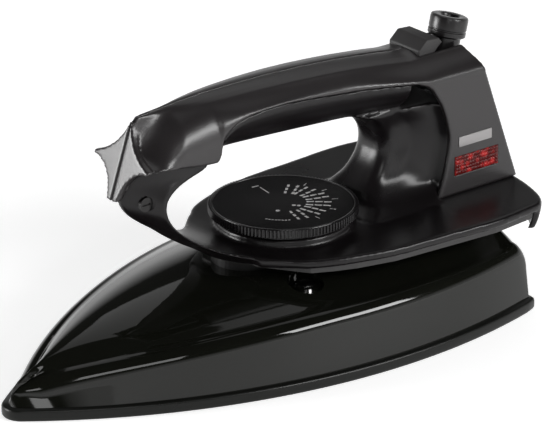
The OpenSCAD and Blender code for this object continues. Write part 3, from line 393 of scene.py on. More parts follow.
def shoulder_at(x):
    """Height of the cover's shoulder at x."""
    s = max(0.0, (10 - x) / (10 - nose_x))
    return shoulder_z - nose_drop * (0.68 * s**1.6 + 0.32 * s**8)


def top_at(x, y):
    """Height of the cover's top surface at x, y."""
    s = max(0.0, (10 - x) / (10 - nose_x))
    crown = 1.5 + (seat_h + 0.5) * (1 - s * s)
    flat_y = max(1.0, outline_y(x, cover_inset + cover_lean + shoulder_r))
    return min(seat_z, shoulder_at(x) + crown * max(0.0, 1 - (y / flat_y) ** 2))


def cover_ring(x, inward):
    """Cross-section of the hood at x, drawn in by a distance."""
    fore = max(0.0, nose_x + cover_inset + 5 - x)
    aft = max(0.0, x - heel_x + cover_inset + shoulder_r)
    foot = outline_y(x, cover_inset) - inward
    wall_y = max(0.35, outline_y(x, cover_inset + cover_lean) - inward)
    corner = min(shoulder_r, wall_y * 0.8)
    drop = (5 - math.sqrt(max(0.0, 25 - fore * fore))
            + shoulder_r - math.sqrt(max(0.0, shoulder_r**2 - aft * aft)))
    sh = max(sole_t + 2, shoulder_at(x) - inward - drop * 0.9)
    bend_z = max(sole_t + 1, sh - corner)
    half = [(max(0.5, foot) * (1 - t) + max(0.45, wall_y) * t, sole_t * (1 - t) + bend_z * t)
            for t in (0, 0.04, 0.3, 0.6, 0.85)]
    half += [(wall_y - corner + corner * math.cos(a), bend_z + (sh - bend_z) * math.sin(a))
             for a in np.radians(np.arange(0, 91, 9))]
    for f in np.arange(0.94, 0.0, -0.06):
        y = (wall_y - corner) * f
        half.append((y, max(sh, sh + top_at(x, y) - shoulder_at(x))))
    ring = [(x, y, z) for y, z in half]
    return ring + [(x, 0.0, half[-1][1] + 0.02)] + [(x, -y, z) for y, z in half[::-1]]


cover_front = nose_x + cover_inset
cover_back = heel_x - cover_inset - shoulder_r
cover_xs = ([cover_front + v for v in (0.3, 0.6, 1.0, 1.5, 2.1, 2.8, 3.6, 4.6, 5.8, 7.5, 9.5, 12, 15, 18.5)]
            + list(np.linspace(cover_front + 22, cover_back, 90))
            + [cover_back + shoulder_r * math.sin(a) for a in np.radians([10, 20, 30, 40, 50, 60, 70, 80])])


def hood(name, inward):
    """Closed hood, drawn in by a distance."""
    s = 1 - 2 * inward / (2 * heel_x)
    drop = 0.01 if inward else 0.0
    return loft(name, [[(p[0] * s, p[1], p[2] - drop) for p in cover_ring(x, inward)] for x in cover_xs])


recess_floor = top_at(cover_screw_x, cover_screw_y) - recess_deep
cover_skin = hood("cover_pressing", 0)
hollow = hood("hollow", cover_wall)
for side in (-1, 1):
    cut(hollow, rod("cup", (cover_screw_x, side * cover_screw_y, recess_floor - cover_wall),
                    (cover_screw_x, side * cover_screw_y, above), recess_r + cover_wall))
cut(cover_skin, hollow)
for side in (-1, 1):
    place = (cover_screw_x, side * cover_screw_y)
    cut(cover_skin, turned("recess", [(0, recess_floor), (recess_r - 0.6, recess_floor),
                                      (recess_r, recess_floor + 0.6), (recess_r, above), (0, above)],
                           place, 64))
    cut(cover_skin, rod("screw_hole", (*place, 0), (*place, above), screw_hole_r))
cut(cover_skin, rod("spindle_hole", (dial_x, 0, 20), (dial_x, 0, above), spindle_hole_r))
cut(cover_skin, box_tool((dial_x + 67, -lead_y, 20), (dial_x + 85, lead_y, above)))
crisp(cover_skin, 30)
print("cover triangles:", triangles(cover_skin))

# %% [markdown]
# ## Handle core
# Deck, neck, post and the underside of the grip are one glossy moulding. The neck is a ribbon that
# rolls up out of the deck's nose and narrows to a keel. The post flares into the deck like a trumpet.
# Each is lofted through its stations, and fusing them gives the soft fillets between them.

# %% Outlines and stations of the core
deck_edge = [(-32, 29), (-23.5, 21), (-17.5, 15.5), (-8.5, 11), (2.5, 7.4), (19.5, 3.4),
             (45.5, 1.6), (70.5, 0), (88.5, 1.9)]
deck_tail = [(16.5, 2.6), (12.5, 4.2), (8, 9.6), (4, 20), (1.2, 33)]
deck_half = ([(dial_x + x, 53.4 - y) for x, y in deck_edge]
             + [(deck_end - x, 53.4 - y) for x, y in deck_tail])
deck_line = spline(deck_half + [(deck_end, 0.0)] + [(x, -y) for x, y in deck_half[::-1]], 8)


def drawn_in(line, distance):
    """Closed line moved inwards by a distance."""
    ahead = np.roll(line, -1, 0) - np.roll(line, 1, 0)
    across = np.stack([-ahead[:, 1], ahead[:, 0]], 1)
    across /= np.linalg.norm(across, axis=1)[:, None]
    area = np.sum(line[:, 0] * np.roll(line[:, 1], -1) - line[:, 1] * np.roll(line[:, 0], -1))
    return line + across * distance * np.sign(area)


neck_frames = [
    (-13.5, -0.01, 39.5, -13.5, -0.09, 38), (-23.5, 0, 32.5, -23.5, -0.09, 30),
    (-31.5, 0.012, 25, -32, -0.09, 20), (-37.5, 0.04, 19.5, -39, -0.09, 6),
    (-44, 0.09, 16.5, -46.5, 0.02, 1.2), (-50.5, 0.17, 14.3, -53.5, 0.12, 1),
    (-57.5, 0.285, 12.6, -61, 0.24, 1), (-63.5, 0.42, 11.4, -68, 0.37, 1),
    (-66.7, 0.55, 11, -74.8, 0.485, 1), (-67.3, 0.66, 10.8, -81.1, 0.62, 1),
    (-65.5, 0.75, 10.6, -84, 0.78, 1.5), (-61, 0.83, 10.5, -80, 0.97, 3),
    (-55, 0.885, 10.4, -73.5, 1.05, 7), (-49.5, 0.925, 10.4, -62, 1.065, 9),
    (-46.6, 0.965, 10.4, -47.2, 1.03, 10)]


def neck_ring(f):
    """Section of the neck from its inner lip to its keel."""
    ix, iz, ox, oz = dial_x + f[0], up(f[1]), dial_x + f[3], up(f[4])
    half = []
    for share, width in ((0, f[2] - 1.5), (0.03, f[2] - 0.6), (0.1, f[2]), (0.16, f[2] - 0.1),
                         (0.3, f[2] * 0.82 + f[5] * 0.18), (0.5, f[2] * 0.6 + f[5] * 0.4),
                         (0.75, f[2] * 0.3 + f[5] * 0.7), (1, f[5])):
        half.append((ix + (ox - ix) * share, width, iz + (oz - iz) * share))
    return half + [(x, -y, z) for x, y, z in half[::-1]]


post_front = [(-0.09, 22, 26), (0, 24, 25), (0.04, 28, 22), (0.09, 32.3, 18), (0.17, 34.5, 14.5),
              (0.27, 38, 11.5), (0.415, 42.5, 10.5), (0.56, 45, 10.5), (0.71, 44.5, 10.5),
              (0.83, 41.5, 10.8), (0.93, 36.5, 11.8), (1.0, 30, 12.5)]
panel_front = [(-0.05, 64.5), (0.3, 69.5), (0.6, 71.5), (0.8, 70), (1, 67), (1.1, 64.5)]


def rear_x(z):
    """x of the panels' rear edge."""
    return deck_end - 1 - (z - deck_z) * 0.36


def panel_x(share):
    """x of the panels' front edge."""
    return dial_x + through(panel_front, share)


def post_ring(p):
    """Section of the post at a height, front edge first."""
    z, fx, hw = up(p[0]), dial_x + p[1], p[2]
    px, rx = panel_x(p[0]) - 1, rear_x(z) - 1.2
    half = [(fx, 0.35 * hw, z), (fx + 0.5, 0.6 * hw, z), (fx + 1.6, 0.8 * hw, z), (fx + 3.2, 0.94 * hw, z),
            (fx + 5.5, hw, z), (0.6 * (fx + 5.5) + 0.4 * px, 0.9 * hw + 0.1 * max(hw, post_b - 4), z),
            (px, max(hw, post_b - 4), z), (px + 3, post_b, z), (rx, post_b, z)]
    return half + [(x, -y, z) for x, y, z in half[::-1]]


seam_line = [(-82, 6.1), (-64, 3.8), (-46, 1.7), (-44.5, 4), (-43.5, 10), (-39, 14.5), (-35, 16.5),
             (-27, 18), (-15, 18.5), (2, 17.4), (17, 15.8), (37, 14.2), (53, 12.6), (62, 11), (100, 9)]


def seam_z(x):
    """Height of the line between the shells and the core."""
    return under_z + through(seam_line, x - dial_x)


def grip_y(x):
    """Half width of the grip, widening into the rear panels."""
    return grip_b + (panel_b - grip_b) * blend((x - dial_x - 18) / 44)


def channel_ring(x):
    """C-shaped section of the grip's underside at x."""
    low = under_z - 0.053 * (x - dial_x) + 0.2
    skin = []
    for inward, angles in ((0.0, range(0, 181, 10)), (wall, range(180, -1, -10))):
        b, top, floor_z = grip_y(x) - inward, seam_z(x), low + inward
        for a in np.radians(list(angles)):
            skin.append((x, b * math.cos(a) * (1 - 0.12 * math.sin(a)), top - (top - floor_z) * math.sin(a)))
    return skin


swivel_at, swivel_room_r = (dial_x + 84.5, ridge_z - 16.7), 14.8


def swivel_room(reach):
    """Round room for the cord's swivel, reaching that far to each side."""
    x, z = swivel_at
    return rod("swivel_room", (x, -reach, z), (x, reach, z), swivel_room_r, 96)


print("deck outline points:", len(deck_line))

# %% [markdown]
# The six solids overlap, and the voxel skin joins them. The rooms and bores are cut after that.

# %% Make the handle core
boss_top, boss_r, post_room_y, room_front = 50.7, 28, 12.5, dial_x + 64
hub_hole_r, spindle_bore_r = 6.3, 4.0
deck_levels = [(0.9, 43.2), (0.35, 43.5), (0.0, 44.2), (0.0, 45.9), (0.25, 46.5), (0.75, 46.9), (1.5, 47.0)]
deck = loft("deck", [[(x, y, z) for x, y in drawn_in(deck_line, inset)] for inset, z in deck_levels])
rear_part = deck_line[deck_line[:, 0] > heel_x + 1]
lip_hub, lip_wall = (60, 0), 0.035


def lip_ring(z, lean):
    """Section of the lip under the deck's rear edge, leaning in by a share of its reach."""
    reach = rear_part - lip_hub
    inward = reach * np.array((lean, 0.5 * lean))
    back = reach * (1 - lip_wall) + lip_hub - inward
    return [(x, y, z) for x, y in np.concatenate([rear_part - inward, back[::-1]])]


lip = loft("lip", [lip_ring(z, lean) for z, lean in ((45.5, 0.0), (43, 0.003), (39, 0.018), (35.6, 0.04))])
neck = loft("neck", [neck_ring(f) for f in spline(neck_frames, 6)])
post = loft("post", [post_ring(p) for p in spline(post_front, 6)])
channel = loft("channel", [channel_ring(x) for x in np.linspace(dial_x - 43, dial_x + 51.6, 60)])
boss = turned("boss", [(0, 43.4), (boss_r, 43.4), (boss_r, boss_top - 0.5), (boss_r - 0.5, boss_top),
                       (0, boss_top)], (dial_x, 0))
handle_core = fused("handle_core_moulding", [deck, lip, neck, post, channel, boss], 0.9, 5)

room_low, room_top = deck_z + 3, up(0.9)
room_corners = [(room_front, room_low), (rear_x(room_low) + 5, room_low),
                (rear_x(room_top) + 5, room_top), (room_front, room_top)]
cut(handle_core, loft("room", [[(x, y, z) for x, z in room_corners] for y in (-post_room_y, post_room_y)]))
cut(handle_core, swivel_room(9.5))
cut(handle_core, rod("hub_bore", (dial_x, 0, boss_top - 2.6), (dial_x, 0, above), hub_hole_r))
cut(handle_core, rod("spindle_bore", (dial_x, 0, 40), (dial_x, 0, above), spindle_bore_r))
cut(handle_core, box_tool((dial_x + 67, -lead_y, 35), (dial_x + 85, lead_y, room_low + 1)))
neck_screw_at = (dial_x - 75.5, up(0.72))
cut(handle_core, rod("neck_seat", (neck_screw_at[0], -30, neck_screw_at[1]),
                     (neck_screw_at[0], -5.5, neck_screw_at[1]), 3.2))
handle_core.data.shade_smooth()
print("handle core triangles:", triangles(handle_core))

# %% [markdown]
# ## Shells
# Two satin shells close over the core and meet in a fine seam along the ridge. Their front ends in a
# flat four-pointed face, the sides are drawn in behind it, and the rear runs out into flat panels.
# One rule gives every section, so the hollow behind the face fades evenly into the round grip.

# %% Stations of the shells
star_x, star_z, horn_b, face_slope = dial_x - 81.4, under_z + 6.1, 17.4, 0.34
roof_line = [(-82, 0.5), (-75.5, 1.5), (-68.5, 2.2), (-61.5, 3.3), (-51.5, 5.3), (-38.5, 7.4),
             (-23.5, 8.7), (-8.5, 9.6), (6.5, 10.1), (60, 10.6), (100, 10.6)]
seam_gap = 0.1
ridge_x, ridge_r, ridge_fall = dial_x - 23.5, 590, 5.7
rear_top_x, panel_top = rear_x(ridge_z - ridge_fall), ridge_z - 15


def shell_arc(x, inward):
    """Section of one shell at x, from the ridge out and down to the seam."""
    s = float(blend((x - star_x) / 20))
    low = float(seam_z(x))
    top = max(ridge_z - (x - ridge_x) ** 2 / (2 * ridge_r), ridge_z - ridge_fall) - inward
    b = (horn_b + (grip_b - horn_b) * s if x < dial_x - 50 else float(grip_y(x))) - inward
    roof = np.array((float(through(roof_line, x - dial_x)) * (1 - inward / grip_b), top - 1.9 * s))
    waist = np.array((4 - 0.9 * inward, low + 4 - 1.2 * inward))
    dip = waist * (1 - s) + np.array((roof[0] + 0.3 * (b - roof[0]), roof[1] - 2.5)) * s
    cheek = waist * (1 - s) + np.array((b + 1.5, roof[1] - 5)) * s
    end = np.array((b, low))
    points = [(roof[0] * t, top + (roof[1] - top) * t * t) for t in (0, 0.35, 0.7)]
    for u in np.arange(21) / 20:
        v = 1 - u
        points.append(tuple(v**3 * roof + 3 * v * v * u * dip + 3 * v * u * u * cheek + u**3 * end))
    return points


def lean_x(x, z):
    """Sections near the face lean with it, and those at the rear with the panels' edge."""
    fore = face_slope * (z - star_z) * (1 - float(blend((x - star_x) / 34)))
    return x + fore + (rear_x(z) - rear_top_x) * float(blend((x - rear_top_x + 30) / 30))


def shell_section(x):
    """Closed wall of one shell at x: outer skin out, inner skin back."""
    outer, inner = shell_arc(x, 0), shell_arc(x, wall)
    ring = [(lean_x(x, z), y + seam_gap, z) for y, z in outer]
    return ring + [(lean_x(x, z), y + seam_gap, z) for y, z in inner[::-1]]


def bezier(a, b, c, count=9):
    """Points of a curve bent towards b."""
    a, b, c = (np.array(p, float) for p in (a, b, c))
    return [tuple((1 - t) ** 2 * a + 2 * t * (1 - t) * b + t * t * c) for t in np.linspace(0, 1, count)]


star_half = ([(0.0, 16.4)] + bezier((0.6, 15.6), (4.5, 4.5), (horn_b, 0.6))
             + bezier((horn_b - 0.4, -0.6), (5.5, -1.5), (3, -14.8)) + [(0.0, -15.0)])
panel_edge = ([(panel_x(s), up(s)) for s in np.linspace(0.0, 1.1, 23)]
              + bezier((dial_x + 63.4, up(1.14)), (dial_x + 61.5, up(1.24)), (dial_x + 55, up(1.29)), 6)
              + [(dial_x + 62.5, panel_top), (rear_x(panel_top), panel_top), (rear_x(deck_z), deck_z + 0.02)])


def half_shell(name):
    """Handle skin on the +Y side, before its holes are cut."""
    xs = np.concatenate([star_x + np.arange(0, 40, 1.0), np.linspace(star_x + 40, rear_top_x, 66)])
    skin = loft("skin", [shell_section(x) for x in xs])
    face = loft("face", [[(star_x + depth + face_slope * z, y + seam_gap, star_z + z) for y, z in star_half]
                         for depth in (-1.6, 1.4)])
    back = loft("back", [[(lean_x(x, z), y + seam_gap, z)
                          for y, z in shell_arc(x, 0) + [(0.0, float(seam_z(x)))]]
                         for x in (rear_top_x - 2.4, rear_top_x)])
    panel = loft("panel", [[(x, y, z) for x, z in panel_edge] for y in (panel_b - wall, panel_b)])
    tabs = [(neck_screw_at[0] - 4, neck_screw_at[1] - 4), (neck_screw_at[0] + 4, neck_screw_at[1] - 4),
            (neck_screw_at[0] + 4, star_z + 3), (star_x + 2, star_z + 3), (star_x - 2, star_z - 6)]
    tab = loft("tab", [[(x, y, z) for x, z in tabs] for y in (seam_gap, 2.5)])
    return fused(name, [skin, face, back, panel, tab], 0.6, 3)


right_shell = half_shell("right_shell_moulding")
left_shell = right_shell.copy()
left_shell.data = right_shell.data.copy()
left_shell.name = "left_shell_moulding"
bpy.context.scene.collection.objects.link(left_shell)
left_shell.data.transform(Matrix.Diagonal((1, -1, 1, 1)))
left_shell.data.flip_normals()
print("shell triangles before cutting:", triangles(right_shell))

# %% [markdown]
# Both shells get the room for the cord's swivel and the seat for the saddle in front of it. The near
# one gets the lamp's window, the far one the seats and bores of its screws.

# %% Cut the shells
saddle_half = 9.5
saddle_line = [(dial_x + 64, ridge_z - 9.5), (dial_x + 64, ridge_z - 5.2), (dial_x + 68.5, ridge_z - 1.2),
               (dial_x + 75, ridge_z - 1.6), (dial_x + 77, ridge_z - 4), (dial_x + 71, ridge_z - 9.5)]
lens_x, lens_l, lens_h, lens_z = dial_x + 74, 24.0, 8.4, deck_z + 8.4
panel_seat, head_seat, bore_r, seat_r, past = panel_b - 1.2, 9, 1.55, 3.2, 40
screws_at = [(dial_x + 91, up(0.85), panel_seat), (dial_x + 88, up(0.14), panel_seat),
             (dial_x - 60, up(1.33), head_seat)]

for shell in (left_shell, right_shell):
    cut(shell, swivel_room(9.5))
    cut(shell, loft("saddle_room", [[(x, y, z) for x, z in saddle_line] for y in (-9.6, 9.6)]))
cut(left_shell, box_tool((lens_x, -panel_b - 2, lens_z), (lens_x + lens_l, -panel_b + 6, lens_z + lens_h)))
for x, z, seat_y in screws_at:
    cut(right_shell, rod("bore", (x, 0, z), (x, past, z), bore_r))
    cut(right_shell, rod("seat", (x, seat_y, z), (x, past, z), seat_r))
for shell in (left_shell, right_shell):
    shell.data.shade_smooth()
    print(shell.name, "triangles:", triangles(shell))

# %% [markdown]
# ## Dial
# The dial is a thin turned disc with a fine knurl round its rim. The knurl is one rib repeated: a
# node tree sets it on every point of a circle, turned to face outwards. So its count and its size
# stay one number each.

# %% Make the dial and its knurl
dial_r, dial_low, dial_top_z = 30.9, 51.3, 56.3
rib_count, rib_deep = 124, 0.7


def node(tree, kind, place=(0, 0), **settings):
    """New node of a kind, with its settings."""
    made = tree.nodes.new(kind)
    made.location = place
    for name, value in settings.items():
        setattr(made, name, value)
    return made


INT, FLOAT, VECTOR = "NodeSocketInt", "NodeSocketFloat", "NodeSocketVector"


def growth_tree(name, inputs):
    """Empty geometry node tree with named inputs, a centre and a finish."""
    tree = bpy.data.node_groups.new(name, "GeometryNodeTree")
    for label, kind in (*inputs, ("Centre", VECTOR), ("Finish", "NodeSocketMaterial")):
        tree.interface.new_socket(label, in_out="INPUT", socket_type=kind)
    tree.interface.new_socket("Geometry", in_out="OUTPUT", socket_type="NodeSocketGeometry")
    return tree, node(tree, "NodeGroupInput", (-900, 0))


def wire(tree, *links):
    """Links between sockets, each given as node, output, node, input."""
    for source, output, target, entry in links:
        tree.links.new(source.outputs[output], target.inputs[entry])


def grow_out(tree, given, last, output):
    """End of a tree: move to the centre, realize, set the finish."""
    move = node(tree, "GeometryNodeTransform", (150, 0))
    real = node(tree, "GeometryNodeRealizeInstances", (400, 0))
    paint = node(tree, "GeometryNodeSetMaterial", (650, 0))
    out = node(tree, "NodeGroupOutput", (900, 0))
    wire(tree, (last, output, move, "Geometry"), (given, "Centre", move, "Translation"),
         (move, "Geometry", real, "Geometry"), (real, "Geometry", paint, "Geometry"),
         (given, "Finish", paint, "Material"), (paint, "Geometry", out, "Geometry"))
    return tree


def rib_ring_tree():
    """Node tree that sets upright ribs round a circle."""
    tree, given = growth_tree("rib_ring", (("Count", INT), ("Radius", FLOAT),
                                           ("Height", FLOAT), ("Width", FLOAT)))
    ring = node(tree, "GeometryNodeMeshCircle", (-650, 100))
    rib = node(tree, "GeometryNodeMeshCylinder", (-650, -200), fill_type="TRIANGLE_FAN")
    rib.inputs["Vertices"].default_value = 6
    face = node(tree, "FunctionNodeAlignRotationToVector", (-400, 200), axis="X")
    spot = node(tree, "GeometryNodeInputPosition", (-600, 300))
    spread = node(tree, "GeometryNodeInstanceOnPoints", (-150, 0))
    wire(tree, (given, "Count", ring, "Vertices"), (given, "Radius", ring, "Radius"),
         (given, "Width", rib, "Radius"), (given, "Height", rib, "Depth"),
         (spot, "Position", face, "Vector"), (ring, "Mesh", spread, "Points"),
         (rib, "Mesh", spread, "Instance"), (face, "Rotation", spread, "Rotation"))
    return grow_out(tree, given, spread, "Instances")


def grow(name, tree, values):
    """Plain mesh object that a node tree makes from its named inputs."""
    piece = bpy.data.objects.new(name, bpy.data.meshes.new(name))
    bpy.context.scene.collection.objects.link(piece)
    step = piece.modifiers.new("grow", "NODES")
    step.node_group = tree
    for item in tree.interface.items_tree:
        if item.item_type == "SOCKET" and item.in_out == "INPUT" and item.name in values:
            step[item.identifier] = values[item.name]
    return settle(piece)


legend_r, body_r, hub_r, bore_radius = dial_r - 2, dial_r - rib_deep, 6, 3.05
disc = turned("disc", [
    (bore_radius, dial_low - 2), (hub_r, dial_low - 2), (hub_r, dial_low), (27.2, dial_low),
    (28.6, dial_low + 0.2), (28.6, dial_low + 0.9), (body_r - 0.2, dial_low + 1.1), (body_r, dial_low + 1.3),
    (body_r, dial_top_z - 0.6), (body_r - 0.25, dial_top_z - 0.15), (body_r - 0.6, dial_top_z),
    (dial_r - 1.5, dial_top_z), (dial_r - 1.85, dial_top_z - 0.12), (legend_r, dial_top_z - 0.35),
    (legend_r, dial_top_z - 1.0), (hub_r, dial_top_z - 1.0), (hub_r, dial_top_z - 2.4),
    (bore_radius, dial_top_z - 2.4)], (dial_x, 0), 192)
bm = bmesh.new()
bm.from_mesh(disc.data)
loops = [e for e in bm.edges if e.is_boundary]
bmesh.ops.bridge_loops(bm, edges=loops)
bmesh.ops.recalc_face_normals(bm, faces=bm.faces)
bm.to_mesh(disc.data)
bm.free()
crisp(disc, 30)
knurl = grow("knurl", rib_ring_tree(), {
    "Count": rib_count, "Radius": (dial_r - rib_deep + 0.1) * MM, "Height": 3.3 * MM, "Width": 0.6 * MM,
    "Centre": (dial_x * MM, 0.0, (dial_low + 3.1) * MM)})
dial_disc = together("dial_disc", [disc, knurl])
print("dial triangles:", triangles(dial_disc))

# %% [markdown]
# The scale on the dial is printed. A thin disc carries it, and each mark is a very thin raised plate:
# a fan of short bars in six groups, three dots and a few thin lines.

# %% Make the dial's face and its marks
face_top = dial_top_z - 0.2


def plate_mark(corners):
    """Thin raised plate with corners given round the dial's axis."""
    return loft("mark", [[(dial_x + x, y, z) for x, y in corners]
                         for z in (face_top - 0.02, face_top + 0.04)])


def bar(radius, angle, length, width, tilt=0.0):
    """Mark centred at a radius and an angle, lying along the radius unless tilted."""
    a, t = math.radians(angle), math.radians(angle + tilt)
    cx, cy, ux, uy = radius * math.cos(a), radius * math.sin(a), math.cos(t), math.sin(t)
    return plate_mark([(cx + s * ux * length / 2 - r * uy * width / 2,
                        cy + s * uy * length / 2 + r * ux * width / 2)
                       for s, r in ((-1, -1), (1, -1), (1, 1), (-1, 1))])


def dot(radius, angle, size=0.8):
    """Round mark at a radius and an angle."""
    a = math.radians(angle)
    cx, cy = radius * math.cos(a), radius * math.sin(a)
    return plate_mark([(cx + size * math.cos(t), cy + size * math.sin(t))
                       for t in np.linspace(0, 2 * math.pi, 17)[:-1]])


marks = [bar(15.3, 81, 7.4, 0.45), bar(20.6, 84.5, 3.2, 0.7, 90),
         dot(9.3, -143, 0.9), dot(5.3, -75), dot(7.2, -68)]
group_r, row_pitch, bar_width = 11.0, 3.6, 1.05
for angle, length in ((38, 2.4), (14, 2.6), (-14, 3.0), (-44, 3.2), (-74, 3.0), (-104, 2.4)):
    for row in range(3):
        for side in (-1, 1):
            marks.append(bar(group_r + row_pitch * row, angle + side * (8.5 - 1.2 * row),
                             length * 0.95, bar_width))
for angle in (26, -1, -29, -59, -89):
    marks.append(bar(21.4, angle, 2.6, 0.35))
for angle in np.arange(-150, -118, 4):
    marks.append(bar(19.2, angle, 0.9, 0.6, 90))
dial_marks = together("dial_marks", marks)
face_r = legend_r - 0.05
dial_face = turned("dial_face", [(0, face_top - 0.8), (face_r, face_top - 0.8), (face_r, face_top - 0.1),
                                 (legend_r - 0.2, face_top), (0, face_top)], (dial_x, 0), 192)
crisp(dial_face, 30)
print("printed marks:", len(marks))

# %% [markdown]
# ## Pilot lamp and label
# The lens is a clear red block whose face is a field of small pyramids, which scatter the lamp's
# light. A node tree sets one pyramid on each point of a grid. Above it is one plain bar.

# %% Make the lens and the bar
lens_face = -panel_b - 0.2


def stud_grid_tree():
    """Node tree that sets small pyramids on a grid facing -Y."""
    tree, given = growth_tree("stud_grid", (("Columns", INT), ("Rows", INT), ("Length", FLOAT),
                                            ("Breadth", FLOAT), ("Size", FLOAT), ("Depth", FLOAT)))
    grid = node(tree, "GeometryNodeMeshGrid", (-650, 100))
    stud = node(tree, "GeometryNodeMeshCone", (-650, -250), fill_type="TRIANGLE_FAN")
    stud.inputs["Vertices"].default_value = 4
    stud.inputs["Radius Top"].default_value = 0.0
    spread = node(tree, "GeometryNodeInstanceOnPoints", (-350, 0))
    spread.inputs["Rotation"].default_value = (0.0, 0.0, math.pi / 4)
    stand = node(tree, "GeometryNodeTransform", (-100, 0))
    stand.inputs["Rotation"].default_value = (math.pi / 2, 0.0, 0.0)
    wire(tree, (given, "Columns", grid, "Vertices X"), (given, "Rows", grid, "Vertices Y"),
         (given, "Length", grid, "Size X"), (given, "Breadth", grid, "Size Y"),
         (given, "Size", stud, "Radius Bottom"), (given, "Depth", stud, "Depth"),
         (grid, "Mesh", spread, "Points"), (stud, "Mesh", spread, "Instance"),
         (spread, "Instances", stand, "Geometry"))
    return grow_out(tree, given, stand, "Geometry")


def soft_block(name, low, high, edge=0.25):
    """Block with narrow bevelled edges."""
    piece = box_tool(low, high)
    piece.name = name
    step = piece.modifiers.new("edge", "BEVEL")
    step.width, step.segments, step.limit_method = edge * MM, 2, "NONE"
    return crisp(settle(piece), 30)


fit = 0.12
lens_block = soft_block("lens_block", (lens_x + fit, lens_face, lens_z + fit),
                        (lens_x + lens_l - fit, -panel_b + wall, lens_z + lens_h - fit), 0.3)
studs = grow("lens_studs", stud_grid_tree(), {
    "Columns": 16, "Rows": 5, "Size": 1.0 * MM, "Depth": 0.4 * MM,
    "Length": (lens_l - 2.4) * MM, "Breadth": (lens_h - 2.2) * MM,
    "Centre": ((lens_x + lens_l / 2) * MM, lens_face * MM, (lens_z + lens_h / 2) * MM)})
lens = together("lamp_lens", [lens_block, studs])
label_l, label_h, label_x, label_z = 18, 4.4, lens_x + 2, lens_z + lens_h + 4
label_plate = soft_block("label_plate", (label_x, -panel_b - 0.3, label_z),
                         (label_x + label_l, -panel_b + 0.1, label_z + label_h), 0.1)
print("lens triangles:", triangles(lens))

# %% [markdown]
# ## Cord inlet
# The lead comes in at the top of the heel through a bush that turns and tilts, so that it follows
# the hand. In front of it a matt wedge, the saddle, guards the joint.

# %% Make the bush and the saddle
bush_lean, bush_reach, bush_high = math.radians(13.5), 11.2, 8.6
stand_bush = (Matrix.Translation((swivel_at[0] * MM, 0, swivel_at[1] * MM))
              @ Matrix.Rotation(bush_lean, 4, "Y"))
bush_end = bush_reach + bush_high
bush_profile = [(3.6, -8.5), (4.8, -8.5), (4.8, bush_reach), (7.5, bush_reach), (8.0, bush_reach + 0.5),
                (8.0, bush_reach + 2.2), (7.75, bush_reach + 2.5), (7.75, bush_reach + 2.9),
                (8.0, bush_reach + 3.2), (8.0, bush_end - 1.0), (7.7, bush_end - 0.3), (7.0, bush_end),
                (4.6, bush_end), (4.0, bush_end - 0.25), (3.6, bush_end - 0.9)]
bush = turned("bush_turning", bush_profile + bush_profile[:1], parts=96, axis=stand_bush)
crisp(bush, 35)
saddle = loft("saddle_wedge", [[(x, y, z) for x, z in saddle_line] for y in (-saddle_half, saddle_half)])
cut(saddle, swivel_room(20))
bevel = saddle.modifiers.new("edge", "BEVEL")
bevel.width, bevel.segments, bevel.angle_limit = 0.7 * MM, 3, math.radians(25)
crisp(settle(saddle), 30)
print("bush and saddle made")

# %% [markdown]
# ## Shared effects
# Three effects come back in many finishes, so each is built once as a node group: the fine texture of
# a moulded or painted skin, the grey dust that settles on upper faces, and the drawn lines of rolled
# or turned metal. They put out only masks and heights. Each finish decides what to do with them.

# %% Build the shared node groups
def effect(name, sockets_in, sockets_out):
    """Empty shader node group with named inputs and outputs."""
    group = bpy.data.node_groups.new(name, "ShaderNodeTree")
    for label, start in sockets_in:
        group.interface.new_socket(label, in_out="INPUT", socket_type="NodeSocketFloat").default_value = start
    for label in sockets_out:
        group.interface.new_socket(label, in_out="OUTPUT", socket_type="NodeSocketFloat")
    return group, node(group, "NodeGroupInput", (-900, 0)), node(group, "NodeGroupOutput", (900, 0))


def arithmetic(tree, how, first, second, place=(0, 0)):
    """Math node between two sockets or numbers."""
    made = node(tree, "ShaderNodeMath", place, operation=how)
    for socket, value in zip(made.inputs, (first, second)):
        if isinstance(value, (int, float)):
            socket.default_value = value
        else:
            tree.links.new(value, socket)
    return made.outputs[0]


grain, given, out = effect("skin_grain", [("Scale", 900.0), ("Cloud Scale", 22.0)], ["Height", "Cloud"])
coords = node(grain, "ShaderNodeTexCoord", (-700, 200))
fine = node(grain, "ShaderNodeTexNoise", (-400, 200))
fine.inputs["Detail"].default_value = 3.0
cloud = node(grain, "ShaderNodeTexNoise", (-400, -150))
cloud.inputs["Detail"].default_value = 4.0
wire(grain, (coords, "Object", fine, "Vector"), (given, "Scale", fine, "Scale"),
     (coords, "Object", cloud, "Vector"), (given, "Cloud Scale", cloud, "Scale"),
     (fine, "Fac", out, "Height"), (cloud, "Fac", out, "Cloud"))

dust, given, out = effect("settled_dust", [("Amount", 0.2), ("Scale", 160.0)], ["Mask"])
facing = node(dust, "ShaderNodeNewGeometry", (-700, 250))
parts = node(dust, "ShaderNodeSeparateXYZ", (-500, 250))
coords = node(dust, "ShaderNodeTexCoord", (-700, -100))
speck = node(dust, "ShaderNodeTexNoise", (-450, -100))
speck.inputs["Detail"].default_value = 6.0
wire(dust, (facing, "Normal", parts, "Vector"), (coords, "Object", speck, "Vector"),
     (given, "Scale", speck, "Scale"))
upward = arithmetic(dust, "MAXIMUM", parts.outputs["Z"], 0.0, (-250, 250))
spread = arithmetic(dust, "MULTIPLY", upward, speck.outputs["Fac"], (0, 150))
dust.links.new(arithmetic(dust, "MULTIPLY", spread, given.outputs["Amount"], (250, 100)), out.inputs["Mask"])

